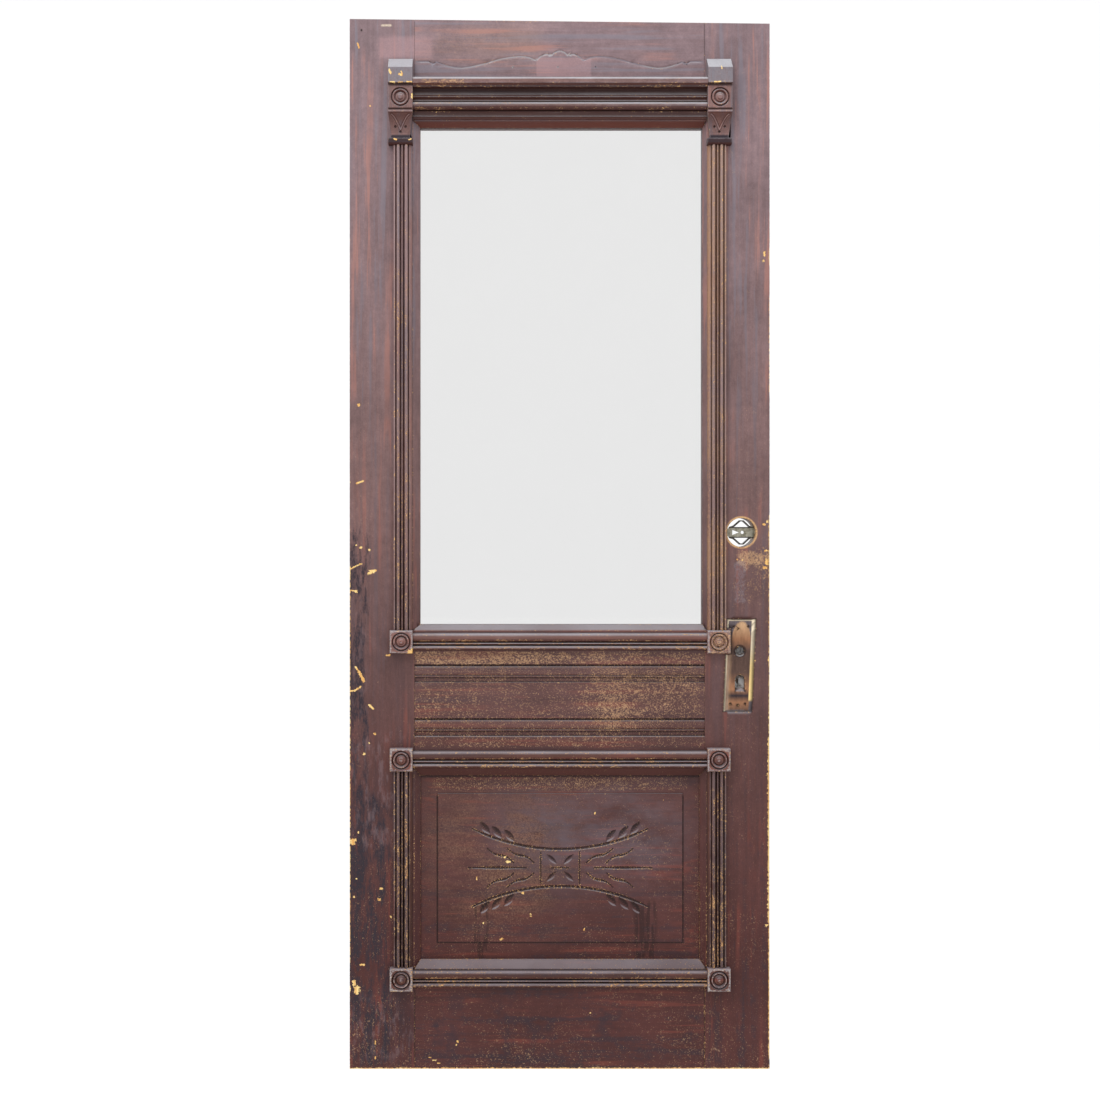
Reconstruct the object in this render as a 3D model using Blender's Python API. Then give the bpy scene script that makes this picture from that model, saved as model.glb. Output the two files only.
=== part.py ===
"""Cottage door: framed door leaf with a glass light, a ploughed lock rail and a carved lower panel.

Lengths are metres. The door is laid out in its own measures: u runs from the hinge edge to the lock
edge, v runs up from the bottom edge, and d stands proud of the front face. The front faces -Y.
The origin of the world is the centre of the middle hinge seat, in the hinge edge.
"""

import math

import bmesh
import bpy
from mathutils import Vector

# Leaf
DOOR_WIDTH = 0.813
DOOR_HEIGHT = 2.033
TOP_FALL = 0.009
DOOR_THICKNESS = 0.0445
STILE_WIDTH = 0.1255
BOTTOM_RAIL_HEIGHT = 0.210
PANEL_SIGHT_HEIGHT = 0.357
LOCK_RAIL_HEIGHT = 0.293
TOP_RAIL_HEIGHT = 0.208
JOINT_GAP = 0.0003
PLANT_GAP = 0.0003
CUT_OVERRUN = 0.002

# Sticking: bevelled edges of the frame around the glass and the panel
STICKING_DEPTH = 0.012
STICKING_LIP = 0.003
GLASS_LIP_HINGE_SIDE = 0.0107
GLASS_LIP_LOCK_SIDE = 0.003
GLASS_BEVEL_HINGE_SIDE = 0.014
GLASS_BEVEL_LOCK_SIDE = 0.0075
GLASS_BEVEL_TOP = 0.012
GLASS_BEVEL_BOTTOM = 0.0105
PANEL_LIP_HINGE_SIDE = 0.0115
PANEL_LIP_LOCK_SIDE = 0.0089
PANEL_BEVEL_SIDE = 0.012
PANEL_BEVEL_END = 0.016
BACK_CHAMFER = 0.007

# Glass and its rebate
REBATE_WIDTH = 0.010
GLASS_THICKNESS = 0.004
GLASS_CLEARANCE = 0.0015
STOP_CHAMFER = 0.008

# Carved panel
GROOVE_DEPTH = 0.010
GROOVE_WIDTH = 0.012
TONGUE_CLEARANCE = 0.0004
PANEL_CLEARANCE = 0.0015
FIELD_MARGIN_SIDE = 0.033
FIELD_MARGIN_END = 0.034
FIELD_SET_BACK = 0.006
FIELD_SHOULDER = 0.0025
SHOULDER_SLOPE = 0.0006

# Incised carving on the panel's field, measured from its centre
STEM_RADIUS = 0.385
STEM_HALF_LENGTH = 0.170
STEM_RISE = 0.036
STEM_WIDTH = 0.0060
LEAF_STATIONS = (0.146, 0.123, 0.099)
LEAF_GAP = 0.0022
LEAF_LENGTH = 0.025
LEAF_WIDTH = 0.0108
LEAF_LEAN = math.radians(52)
PETAL_OFFSET = 0.0165
PETAL_LENGTH = 0.0215
PETAL_WIDTH = 0.008
UPRIGHT_OFFSET = 0.0375
LONG_RAY_START = 0.066
LONG_RAY_END = 0.178
WAVE_RAY_STARTS = (0.051, 0.090)
WAVE_RAY_BASE = 0.010
WAVE_RAY_RUN = 0.051
WAVE_RAY_RISE = 0.0275
FINE_LINE_WIDTH = 0.0045
GROOVE_SLOPE = 0.65
SMALLEST_SHARE = 0.12
LIP_LIFT = 0.4

# Ploughed bands of the lock rail
BAND_TOPS = (0.7835, 0.6792)
BAND_HEIGHT = 0.0349
BAND_FILLET = 0.003
BAND_BEAD = 0.019
BAND_ARRIS = 0.003
BAND_DEPTH = 0.0055
BAND_CROWN = 0.0008

# Incised line over the top rail, from the door's middle outwards and above the line's level
LINE_LEVEL = 0.125
LINE_WIDTH = 0.0045
LINE_BREAK = 0.0018
LINE_CROWN = ((0.0, 0.0215), (0.0085, 0.0190), (0.0166, 0.0114))
LINE_LOBES = (
    ((0.0166, 0.0114), (0.0230, 0.0145), (0.0340, 0.0125), (0.0455, 0.0022)),
    ((0.0455, 0.0022), (0.0600, 0.0082), (0.0790, 0.0102), (0.1120, 0.0058), (0.1510, -0.0050),
     (0.1890, -0.0125), (0.2170, -0.0085), (0.2380, 0.0)),
    ((0.2380, 0.0), (0.2460, -0.0040), (0.2540, 0.0006), (0.2790, 0.0)),
)

# Planted trim
REED_INSET = 0.0855
BLOCK_INSET = 0.0784
BLOCK_SIDE = 0.044
BLOCK_DEPTH = 0.020
BLOCK_CHAMFER = 0.0015
SILL_OFFSET = 0.032
PANEL_TRIM_OFFSET = 0.0333
ROSETTE_RADIUS = 0.0183
ROSETTE_DEPTH = 0.0032
ROSETTE_SIDES = 18

# Members of a moulding, read across it: shape, width, height at its start, height of its crown or end
UPRIGHT_REED = (
    ("flat", 0.0031, 0.0100, 0.0110),
    ("hollow", 0.0025, 0.0090, 0.0050),
    ("round", 0.0066, 0.0080, 0.0145),
    ("hollow", 0.0027, 0.0080, 0.0050),
    ("round", 0.0031, 0.0080, 0.0130),
    ("hollow", 0.0029, 0.0080, 0.0050),
    ("round", 0.0070, 0.0080, 0.0145),
    ("hollow", 0.0019, 0.0080, 0.0050),
    ("flat", 0.0062, 0.0100, 0.0030),
)
LEVEL_REED = (
    ("flat", 0.0010, 0.0070, 0.0090),
    ("round", 0.0155, 0.0090, 0.0150),
    ("hollow", 0.0025, 0.0080, 0.0045),
    ("round", 0.0035, 0.0080, 0.0130),
    ("hollow", 0.0025, 0.0080, 0.0045),
    ("round", 0.0080, 0.0080, 0.0145),
    ("flat", 0.0010, 0.0080, 0.0060),
)
HEAD_MEMBERS = (
    ("flat", 0.0040, 0.0080, 0.0100),
    ("hollow", 0.0100, 0.0125, 0.0105),
    ("flat", 0.0030, 0.0070, 0.0070),
    ("round", 0.0150, 0.0100, 0.0200),
    ("flat", 0.0020, 0.0100, 0.0100),
    ("hollow", 0.0060, 0.0120, 0.0095),
    ("round", 0.0032, 0.0110, 0.0142),
    ("round", 0.0033, 0.0110, 0.0142),
    ("cove", 0.0125, 0.0140, 0.0080),
    ("flat", 0.0030, 0.0220, 0.0220),
    ("flat", 0.0030, 0.0240, 0.0260),
    ("flat", 0.0080, 0.0280, 0.0280),
    ("flat", 0.0045, 0.0280, 0.0235),
)

# Head consoles, built up from their foot
CONSOLE_INSET = 0.0755
CONSOLE_WIDTH = 0.047
CONSOLE_DROP = 0.038
ABACUS_HEIGHT = 0.012
NECK_HEIGHT = 0.004
BRACKET_HEIGHT = 0.044
ASTRAGAL_HEIGHT = 0.004
QUIRK_HEIGHT = 0.0038
ROSETTE_BLOCK_HEIGHT = 0.0434
CAP_FACE_HEIGHT = 0.030
CAP_SLOPE_HEIGHT = 0.023
ABACUS_DEPTH = 0.017
NECK_DEPTH = 0.012
BRACKET_DEPTH = 0.024
ASTRAGAL_DEPTH = 0.026
QUIRK_DEPTH = 0.021
ROSETTE_BLOCK_DEPTH = 0.024
CAP_DEPTH = 0.030
CAP_TOP_DEPTH = 0.003
BRACKET_TAPER = 0.0055
ABACUS_SPLAY = 0.003
LEAF_CUT_WIDTH = 0.0038
LEAF_DRILL_RADIUS = 0.0016

# Deadbolt bore and the latch left in it, measured from the lock edge
BORE_BACKSET = 0.0547
BORE_HEIGHT = 1.039
BORE_DIAMETER = 0.056
CROSS_BORE_DIAMETER = 0.025
LATCH_CLEARANCE = 0.0005
BAR_HEIGHT = 0.0212
BAR_THICKNESS = 0.005
BAR_HOLE_RADIUS = 0.0033
BAR_WINDOW_LENGTH = 0.0135
BAR_WINDOW_HEIGHT = 0.010
CRADLE_STRIP = 0.0026
CRADLE_WIDTH = 0.012
CRADLE_REACH = 0.0225

# Mortise lock, measured from the lock edge
SPINDLE_BACKSET = 0.0573
SPINDLE_HEIGHT = 0.8095
SPINDLE_DIAMETER = 0.0177
KEYHOLE_DROP = 0.0727
KEYHOLE_WIDTH = 0.0192
KEYHOLE_RISE = 0.0266
KEYHOLE_SILL = 0.006
CASE_DEPTH = 0.078
CASE_HEIGHT = 0.118
CASE_THICKNESS = 0.015
CASE_DROP = 0.0875
CASE_CLEARANCE = 0.0005
KEY_SLOT_WIDTH = 0.0045
KEY_SLOT_HEIGHT = 0.018
KEY_SLOT_OFFSET = 0.0035
CASE_CUT_DEPTH = 0.005
SPINDLE_SQUARE = 0.008

# Bed of the lost lock plate
PLATE_BED_DEPTH = 0.0022
PLATE_BED_WIDTH = 0.0564
PLATE_BED_HEIGHT = 0.1800
PLATE_BED_DROP = 0.1176
PLATE_BED_EDGE = 0.0338
PLATE_BED_LEAN = 0.0078
PLATE_BLOCK_CLEARANCE = 0.003

# Screw holes of the plate's bed, as (from the lock edge, above the spindle), and nail holes, as u
PLATE_SCREWS = ((0.0690, 0.0476), (0.0605, 0.0430), (0.0411, 0.0475), (0.0758, -0.1024), (0.0615, -0.1049),
                (0.0470, -0.1024))
SCREW_RADIUS = 0.0013
SCREW_DEPTH = 0.008
LINE_NAILS = (0.3163, 0.4031, 0.4762)
LINE_NAIL_DROP = 0.010
NAIL_RADIUS = 0.0011

# Hinge gains
GAIN_HEIGHT = 0.102
GAIN_WIDTH = 0.035
GAIN_DEPTH = 0.0025
TOP_HINGE_DROP = 0.178
BOTTOM_HINGE_RISE = 0.279

# Levels and lines that follow from the sizes above
PANEL_FOOT = BOTTOM_RAIL_HEIGHT
PANEL_HEAD = PANEL_FOOT + PANEL_SIGHT_HEIGHT
GLASS_FOOT = PANEL_HEAD + LOCK_RAIL_HEIGHT
GLASS_HEAD = DOOR_HEIGHT - TOP_RAIL_HEIGHT
HINGE_SHOULDER = STILE_WIDTH
LOCK_SHOULDER = DOOR_WIDTH - STILE_WIDTH
GLASS_SIGHT = (HINGE_SHOULDER + GLASS_LIP_HINGE_SIDE, LOCK_SHOULDER - GLASS_LIP_LOCK_SIDE,
               GLASS_FOOT, GLASS_HEAD)
PANEL_SIGHT = (HINGE_SHOULDER + PANEL_LIP_HINGE_SIDE, LOCK_SHOULDER - PANEL_LIP_LOCK_SIDE,
               PANEL_FOOT, PANEL_HEAD)
GLASS_BEVELS = (GLASS_BEVEL_HINGE_SIDE, GLASS_BEVEL_LOCK_SIDE, GLASS_BEVEL_BOTTOM, GLASS_BEVEL_TOP)
PANEL_BEVELS = (PANEL_BEVEL_SIDE, PANEL_BEVEL_SIDE, PANEL_BEVEL_END, PANEL_BEVEL_END)
LIP_BACK = STICKING_DEPTH + STICKING_LIP
TOP_HINGE_CENTRE = DOOR_HEIGHT - TOP_HINGE_DROP - GAIN_HEIGHT / 2
BOTTOM_HINGE_CENTRE = BOTTOM_HINGE_RISE + GAIN_HEIGHT / 2
MIDDLE_HINGE_CENTRE = (TOP_HINGE_CENTRE + BOTTOM_HINGE_CENTRE) / 2
SILL_LINE = GLASS_FOOT - SILL_OFFSET
PANEL_TRIM_TOP = PANEL_HEAD + PANEL_TRIM_OFFSET
PANEL_TRIM_BOTTOM = PANEL_FOOT - PANEL_TRIM_OFFSET
CONSOLE_FOOT = GLASS_HEAD - CONSOLE_DROP
HEAD_FOOT = GLASS_HEAD + GLASS_BEVEL_TOP
KEYHOLE_FOOT = SPINDLE_HEIGHT - KEYHOLE_DROP
CASE_FOOT = SPINDLE_HEIGHT - CASE_DROP
PLATE_BED_FOOT = SPINDLE_HEIGHT - PLATE_BED_DROP


def top_edge(u):
    """Height of the door's trimmed top edge at u."""
    return DOOR_HEIGHT - TOP_FALL * u / DOOR_WIDTH


def at(u, v, d):
    """Door measures as a point: the front looks along -Y."""
    return Vector((u, -d, v))


def varnished_wood():
    return surface("varnished_wood", (0.145, 0.075, 0.062, 1.0), 0.55, 0.0)


def worn_moulding():
    return surface("worn_moulding", (0.19, 0.105, 0.080, 1.0), 0.5, 0.0)


def clear_glass():
    material = surface("clear_glass", (0.92, 0.95, 0.95, 1.0), 0.03, 0.0)
    material.node_tree.nodes["Principled BSDF"].inputs["Transmission Weight"].default_value = 1.0
    return material


def zinc_plate():
    return surface("zinc_plate", (0.42, 0.42, 0.36, 1.0), 0.42, 0.9)


def lock_steel():
    return surface("lock_steel", (0.25, 0.26, 0.27, 1.0), 0.5, 0.85)


def surface(name, colour, roughness, metallic):
    """A Principled material, made once for each name."""
    material = bpy.data.materials.get(name)
    if material is None:
        material = bpy.data.materials.new(name)
        material.use_nodes = True
        shader = material.node_tree.nodes["Principled BSDF"]
        shader.inputs["Base Color"].default_value = colour
        shader.inputs["Roughness"].default_value = roughness
        shader.inputs["Metallic"].default_value = metallic
    return material


def place(name, bm, material):
    """Turn a bmesh into a piece of the door, held by the door's own frame of reference."""
    bmesh.ops.recalc_face_normals(bm, faces=bm.faces)
    mesh = bpy.data.meshes.new(name)
    bm.to_mesh(mesh)
    bm.free()
    piece = bpy.data.objects.new(name, mesh)
    bpy.context.scene.collection.objects.link(piece)
    piece.parent = bpy.data.objects["door_frame"]
    if material is not None:
        mesh.materials.append(material)
    return piece


def combine(piece, name, bm, operation):
    """Cut a shape out of a piece, or join it on, and keep the shape as a hidden helper."""
    helper = place(piece.name + "_" + name, bm, None)
    helper.hide_render = True
    helper.display_type = "WIRE"
    modifier = piece.modifiers.new(name, "BOOLEAN")
    modifier.operation = operation
    modifier.solver = "EXACT"
    modifier.object = helper


def cut(piece, name, bm):
    combine(piece, name, bm, "DIFFERENCE")


def join(piece, name, bm):
    combine(piece, name, bm, "UNION")


def extruded(points, run, bm=None):
    """A flat outline carried along a straight run. Several can share one bmesh."""
    bm = bm or bmesh.new()
    face = bm.faces.new([bm.verts.new(point) for point in points])
    grown = bmesh.ops.extrude_face_region(bm, geom=[face])
    moved = [item for item in grown["geom"] if isinstance(item, bmesh.types.BMVert)]
    bmesh.ops.translate(bm, verts=moved, vec=run)
    return bm


def slab(outline, back, front, bm=None):
    """An outline in u and v, given thickness from back to front."""
    return extruded([at(u, v, back) for u, v in outline], at(0, 0, front - back), bm)


def block(u_low, u_high, v_low, v_high, back, front, bm=None):
    outline = ((u_low, v_low), (u_high, v_low), (u_high, v_high), (u_low, v_high))
    return slab(outline, back, front, bm)


def lengthwise(profile, u_low, u_high):
    """A profile in v and d, run along u."""
    return extruded([at(u_low, v, d) for v, d in profile], at(u_high - u_low, 0, 0))


def upright(profile, v_low, v_high):
    """A profile in u and d, run up v."""
    return extruded([at(u, v_low, d) for u, d in profile], at(0, v_high - v_low, 0))


def stepped_rectangles(levels):
    """Rectangles (u low, u high, v low, v high) at rising d, skinned into one body."""
    bm = bmesh.new()
    rings = []
    for (u_low, u_high, v_low, v_high), d in levels:
        corners = ((u_low, v_low), (u_high, v_low), (u_high, v_high), (u_low, v_high))
        rings.append([bm.verts.new(at(u, v, d)) for u, v in corners])
    for lower, upper in zip(rings, rings[1:]):
        for i in range(4):
            j = (i + 1) % 4
            bm.faces.new((lower[i], lower[j], upper[j], upper[i]))
    bm.faces.new(rings[0])
    bm.faces.new(rings[-1])
    return bm


def grown(rectangle, amount):
    """A rectangle with its four sides moved outwards, by one amount or by four."""
    sides = amount if isinstance(amount, tuple) else (amount,) * 4
    u_low, u_high, v_low, v_high = rectangle
    return u_low - sides[0], u_high + sides[1], v_low - sides[2], v_high + sides[3]


def cylinder(u, v, radius, back, front, sides, bm=None):
    """A round bar or hole that runs square to the door's face."""
    outline = [(u + radius * math.cos(math.tau * i / sides), v + radius * math.sin(math.tau * i / sides))
               for i in range(sides)]
    return slab(outline, back, front, bm)


def moulding_profile(members, arc_steps=4):
    """The outline that a row of moulding members makes, closed along its flat back."""
    points = []
    reached = 0.0
    for shape, width, start, crown in members:
        if shape == "flat":
            points += [(reached, start), (reached + width, crown)]
        elif shape == "cove":
            for i in range(arc_steps + 1):
                turn = math.pi / 2 * i / arc_steps
                height = crown + (start - crown) * (1 - math.sin(turn))
                points.append((reached + width * (1 - math.cos(turn)), height))
        else:
            for i in range(arc_steps + 1):
                turn = math.pi * i / arc_steps
                across = reached + width * (1 - math.cos(turn)) / 2
                points.append((across, start + (crown - start) * math.sin(turn)))
        reached += width
    outline = [(0.0, PLANT_GAP)]
    for point in points + [(reached, PLANT_GAP)]:
        if math.dist(point, outline[-1]) > 1e-5:
            outline.append(point)
    return outline


def moulding_width(members):
    return sum(width for _, width, _, _ in members)


def cut_sections(bm, path, width, shares, lift_share):
    """Corners of a V-shaped cut's sections along a path of (u, v, d) points: both lips, then the keel."""
    sections = []
    last = len(path) - 1
    for i, (u, v, d) in enumerate(path):
        before = path[max(i - 1, 0)]
        after = path[min(i + 1, last)]
        along = Vector((after[0] - before[0], after[1] - before[1])).normalized()
        half = width * shares[i] / 2
        depth = half * GROOVE_SLOPE
        side = Vector((-along.y, along.x)) * half * (1 + lift_share)
        level = d + depth * lift_share
        corners = (at(u + side.x, v + side.y, level), at(u - side.x, v - side.y, level), at(u, v, d - depth))
        sections.append([bm.verts.new(corner) for corner in corners])
    return sections


def incision(bm, path, width, shares):
    """A closed V-shaped cutter, which stands a little out of the face that it cuts."""
    sections = cut_sections(bm, path, width, shares, LIP_LIFT)
    for lower, upper in zip(sections, sections[1:]):
        for i in range(3):
            j = (i + 1) % 3
            bm.faces.new((lower[i], lower[j], upper[j], upper[i]))
    bm.faces.new(sections[0])
    bm.faces.new(sections[-1])


def carve(bm, path, width, shares):
    """The two slopes and the ends of a V-shaped cut in a flat face, open at the face."""
    sections = cut_sections(bm, path, width, shares, 0)
    for lower, upper in zip(sections, sections[1:]):
        for lip in (0, 1):
            bm.faces.new((lower[lip], upper[lip], upper[2], lower[2]))
    bm.faces.new(sections[0])
    bm.faces.new(sections[-1])


def swell(count):
    """Width shares of a cut that opens from a point and closes to a point."""
    return [max(SMALLEST_SHARE, math.sin(math.pi * i / (count - 1)) ** 0.8) for i in range(count)]


def even(count):
    """Width shares of a cut with short tapered ends."""
    shares = [1.0] * count
    shares[0] = SMALLEST_SHARE * 3
    shares[-1] = SMALLEST_SHARE * 3
    return shares


def smooth_run(keys, steps):
    """Points along a smooth curve through the keys."""
    points = []
    last = len(keys) - 1
    for i in range(last):
        a = Vector(keys[max(i - 1, 0)])
        b = Vector(keys[i])
        c = Vector(keys[i + 1])
        e = Vector(keys[min(i + 2, last)])
        for step in range(steps):
            t = step / steps
            point = 0.5 * ((2 * b) + (c - a) * t + (2 * a - 5 * b + 4 * c - e) * t ** 2
                           + (3 * b - a - 3 * c + e) * t ** 3)
            points.append(tuple(point))
    points.append(tuple(keys[-1]))
    return points


def shortened(points, amount):
    """A stroke with its two ends drawn in, so that it stops clear of the next one."""
    first = Vector(points[0]) + (Vector(points[1]) - Vector(points[0])).normalized() * amount
    last = Vector(points[-1]) + (Vector(points[-2]) - Vector(points[-1])).normalized() * amount
    return [tuple(first)] + list(points[1:-1]) + [tuple(last)]


def sticking_cutter(sight, bevels):
    """The funnel that leaves a mitred bevel on all four sides of an opening."""
    over = CUT_OVERRUN
    rise = [width * over / STICKING_DEPTH for width in bevels]
    wide = grown(sight, tuple(width + extra for width, extra in zip(bevels, rise)))
    narrow = grown(sight, tuple(-extra for extra in rise))
    return stepped_rectangles(((narrow, -STICKING_DEPTH - over), (wide, over)))


def back_chamfer_cutter():
    """The small chamfer at the back of the panel's opening."""
    over = CUT_OVERRUN
    return stepped_rectangles((
        (grown(PANEL_SIGHT, BACK_CHAMFER + over), -DOOR_THICKNESS - over),
        (grown(PANEL_SIGHT, -over), -DOOR_THICKNESS + BACK_CHAMFER + over),
    ))


def groove_cutter():
    """The groove in the frame that holds the panel's edge."""
    u_low, u_high, v_low, v_high = grown(PANEL_SIGHT, GROOVE_DEPTH)
    return block(u_low, u_high, v_low, v_high, -LIP_BACK - GROOVE_WIDTH, -LIP_BACK)


def rebate_cutter():
    """The rebate in the frame that holds the glass, open at the back."""
    u_low, u_high, v_low, v_high = grown(GLASS_SIGHT, REBATE_WIDTH)
    return block(u_low, u_high, v_low, v_high, -DOOR_THICKNESS - CUT_OVERRUN, -LIP_BACK)


def frame_member(name, outline, touches_glass=True, touches_panel=True):
    """A stile or rail: its outline at full thickness, less the sticking, rebate and groove."""
    member = place(name, slab(outline, -DOOR_THICKNESS, 0.0), varnished_wood())
    if touches_glass:
        cut(member, "glass_sticking", sticking_cutter(GLASS_SIGHT, GLASS_BEVELS))
        cut(member, "glass_rebate", rebate_cutter())
    if touches_panel:
        cut(member, "panel_sticking", sticking_cutter(PANEL_SIGHT, PANEL_BEVELS))
        cut(member, "panel_groove", groove_cutter())
        cut(member, "panel_back_chamfer", back_chamfer_cutter())
    return member


def mitre_rise(lip, side_bevel, end_bevel):
    """How far along v a mitre has run when it reaches the shoulder line."""
    return end_bevel * lip / side_bevel


def shoulder_line(hinge_side):
    """The joint line between a stile and the rails, from bottom to top, with its mitres."""
    if hinge_side:
        shoulder = HINGE_SHOULDER
        glass_sight, panel_sight = GLASS_SIGHT[0], PANEL_SIGHT[0]
        glass_lip, glass_bevel, panel_lip = GLASS_LIP_HINGE_SIDE, GLASS_BEVEL_HINGE_SIDE, PANEL_LIP_HINGE_SIDE
    else:
        shoulder = LOCK_SHOULDER
        glass_sight, panel_sight = GLASS_SIGHT[1], PANEL_SIGHT[1]
        glass_lip, glass_bevel, panel_lip = GLASS_LIP_LOCK_SIDE, GLASS_BEVEL_LOCK_SIDE, PANEL_LIP_LOCK_SIDE
    panel_rise = mitre_rise(panel_lip, PANEL_BEVEL_SIDE, PANEL_BEVEL_END)
    foot_rise = mitre_rise(glass_lip, glass_bevel, GLASS_BEVEL_BOTTOM)
    head_rise = mitre_rise(glass_lip, glass_bevel, GLASS_BEVEL_TOP)
    return {
        "bottom": ((shoulder, 0.0),),
        "panel_foot": ((shoulder, PANEL_FOOT - panel_rise), (panel_sight, PANEL_FOOT)),
        "panel_head": ((panel_sight, PANEL_HEAD), (shoulder, PANEL_HEAD + panel_rise)),
        "glass_foot": ((shoulder, GLASS_FOOT - foot_rise), (glass_sight, GLASS_FOOT)),
        "glass_head": ((glass_sight, GLASS_HEAD), (shoulder, GLASS_HEAD + head_rise)),
        "top": ((shoulder, top_edge(shoulder)),),
    }


def stile_outline(hinge_side):
    line = shoulder_line(hinge_side)
    outer = 0.0 if hinge_side else DOOR_WIDTH
    return ((outer, 0.0), *line["bottom"], *line["panel_foot"], *line["panel_head"],
            *line["glass_foot"], *line["glass_head"], *line["top"], (outer, top_edge(outer)))


def rail_outline(lower, upper):
    """A rail between the two shoulder lines, its ends clear of the stiles by the joint gap."""
    left, right = [], []
    for key in (lower, upper):
        for points, hinge_side, gap in ((left, True, JOINT_GAP), (right, False, -JOINT_GAP)):
            points += [(u + gap, v) for u, v in shoulder_line(hinge_side)[key]]
    return tuple(left + right[::-1])


def build_hinge_stile():
    stile = frame_member("hinge_stile", stile_outline(True))
    gains = bmesh.new()
    for centre in (BOTTOM_HINGE_CENTRE, MIDDLE_HINGE_CENTRE, TOP_HINGE_CENTRE):
        block(-CUT_OVERRUN, GAIN_DEPTH, centre - GAIN_HEIGHT / 2, centre + GAIN_HEIGHT / 2,
              -DOOR_THICKNESS - CUT_OVERRUN, -DOOR_THICKNESS + GAIN_WIDTH, gains)
    cut(stile, "hinge_gains", gains)


def plate_bed_outline():
    """The leaning bed of the lock plate, which stops clear of the sill's corner block wherever the two meet."""
    def edge(v):
        return left + PLATE_BED_LEAN * (v - PLATE_BED_FOOT) / PLATE_BED_HEIGHT

    left = DOOR_WIDTH - PLATE_BED_EDGE - PLATE_BED_WIDTH
    top = PLATE_BED_FOOT + PLATE_BED_HEIGHT
    block_edge = DOOR_WIDTH - BLOCK_INSET + PLATE_BLOCK_CLEARANCE
    notch_low = max(SILL_LINE - BLOCK_SIDE / 2 - PLATE_BLOCK_CLEARANCE, PLATE_BED_FOOT)
    notch_high = min(SILL_LINE + BLOCK_SIDE / 2 + PLATE_BLOCK_CLEARANCE, top)
    inner = [(left, PLATE_BED_FOOT), (edge(top), top)]
    if notch_low < notch_high:
        inner = [(block_edge, notch_low), (block_edge, notch_high)]
        if notch_low > PLATE_BED_FOOT:
            inner = [(left, PLATE_BED_FOOT), (edge(notch_low), notch_low), *inner]
        if notch_high < top:
            inner += [(edge(notch_high), notch_high), (edge(top), top)]
    return (*inner, (edge(top) + PLATE_BED_WIDTH, top), (left + PLATE_BED_WIDTH, PLATE_BED_FOOT))


def keyhole_outline():
    """An opening with a round head, from its sill up."""
    centre = DOOR_WIDTH - SPINDLE_BACKSET
    radius = KEYHOLE_WIDTH / 2
    spring = KEYHOLE_FOOT + KEYHOLE_RISE - radius
    arch = [(centre + radius * math.cos(math.pi * i / 10), spring + radius * math.sin(math.pi * i / 10))
            for i in range(11)]
    return [(centre - radius, KEYHOLE_FOOT), (centre + radius, KEYHOLE_FOOT)] + arch


def case_back():
    """Where the lock case lies in the thickness: its back, at negative d."""
    return -(DOOR_THICKNESS + CASE_THICKNESS) / 2


def build_lock_stile():
    stile = frame_member("lock_stile", stile_outline(False))
    bore_u = DOOR_WIDTH - BORE_BACKSET
    through = (-DOOR_THICKNESS - CUT_OVERRUN, CUT_OVERRUN)
    cut(stile, "plate_bed", slab(plate_bed_outline(), -PLATE_BED_DEPTH, CUT_OVERRUN))
    cut(stile, "deadbolt_bore", cylinder(bore_u, BORE_HEIGHT, BORE_DIAMETER / 2, *through, 32))
    cut(stile, "cross_bore", latch_tube(CROSS_BORE_DIAMETER / 2, bore_u, DOOR_WIDTH + CUT_OVERRUN))
    mortise = block(DOOR_WIDTH - CASE_DEPTH - CASE_CLEARANCE, DOOR_WIDTH + CUT_OVERRUN,
                    CASE_FOOT - CASE_CLEARANCE, CASE_FOOT + CASE_HEIGHT + CASE_CLEARANCE,
                    case_back() - CASE_CLEARANCE, case_back() + CASE_THICKNESS + CASE_CLEARANCE)
    cut(stile, "lock_mortise", mortise)
    middle = -DOOR_THICKNESS / 2
    spindle = cylinder(DOOR_WIDTH - SPINDLE_BACKSET, SPINDLE_HEIGHT, SPINDLE_DIAMETER / 2,
                       middle, CUT_OVERRUN, 20)
    cut(stile, "spindle_hole", spindle)
    cut(stile, "keyhole", slab(keyhole_outline(), middle, CUT_OVERRUN))
    centre = DOOR_WIDTH - SPINDLE_BACKSET
    sill = extruded([at(centre - KEYHOLE_WIDTH / 2, KEYHOLE_FOOT - KEYHOLE_SILL, -PLATE_BED_DEPTH + 0.0001),
                     at(centre - KEYHOLE_WIDTH / 2, KEYHOLE_FOOT + KEYHOLE_SILL, -PLATE_BED_DEPTH + 0.0001),
                     at(centre - KEYHOLE_WIDTH / 2, KEYHOLE_FOOT + KEYHOLE_SILL,
                        -PLATE_BED_DEPTH - 2 * KEYHOLE_SILL)],
                    at(KEYHOLE_WIDTH, 0, 0))
    cut(stile, "keyhole_sill", sill)
    screws = [(DOOR_WIDTH - backset, SPINDLE_HEIGHT + rise) for backset, rise in PLATE_SCREWS]
    cut(stile, "screw_holes", small_holes(screws, SCREW_RADIUS))


def small_holes(places, radius):
    """Pilot holes left by screws and nails."""
    bm = bmesh.new()
    for u, v in places:
        cylinder(u, v, radius, -SCREW_DEPTH, CUT_OVERRUN, 6, bm)
    return bm


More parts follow.
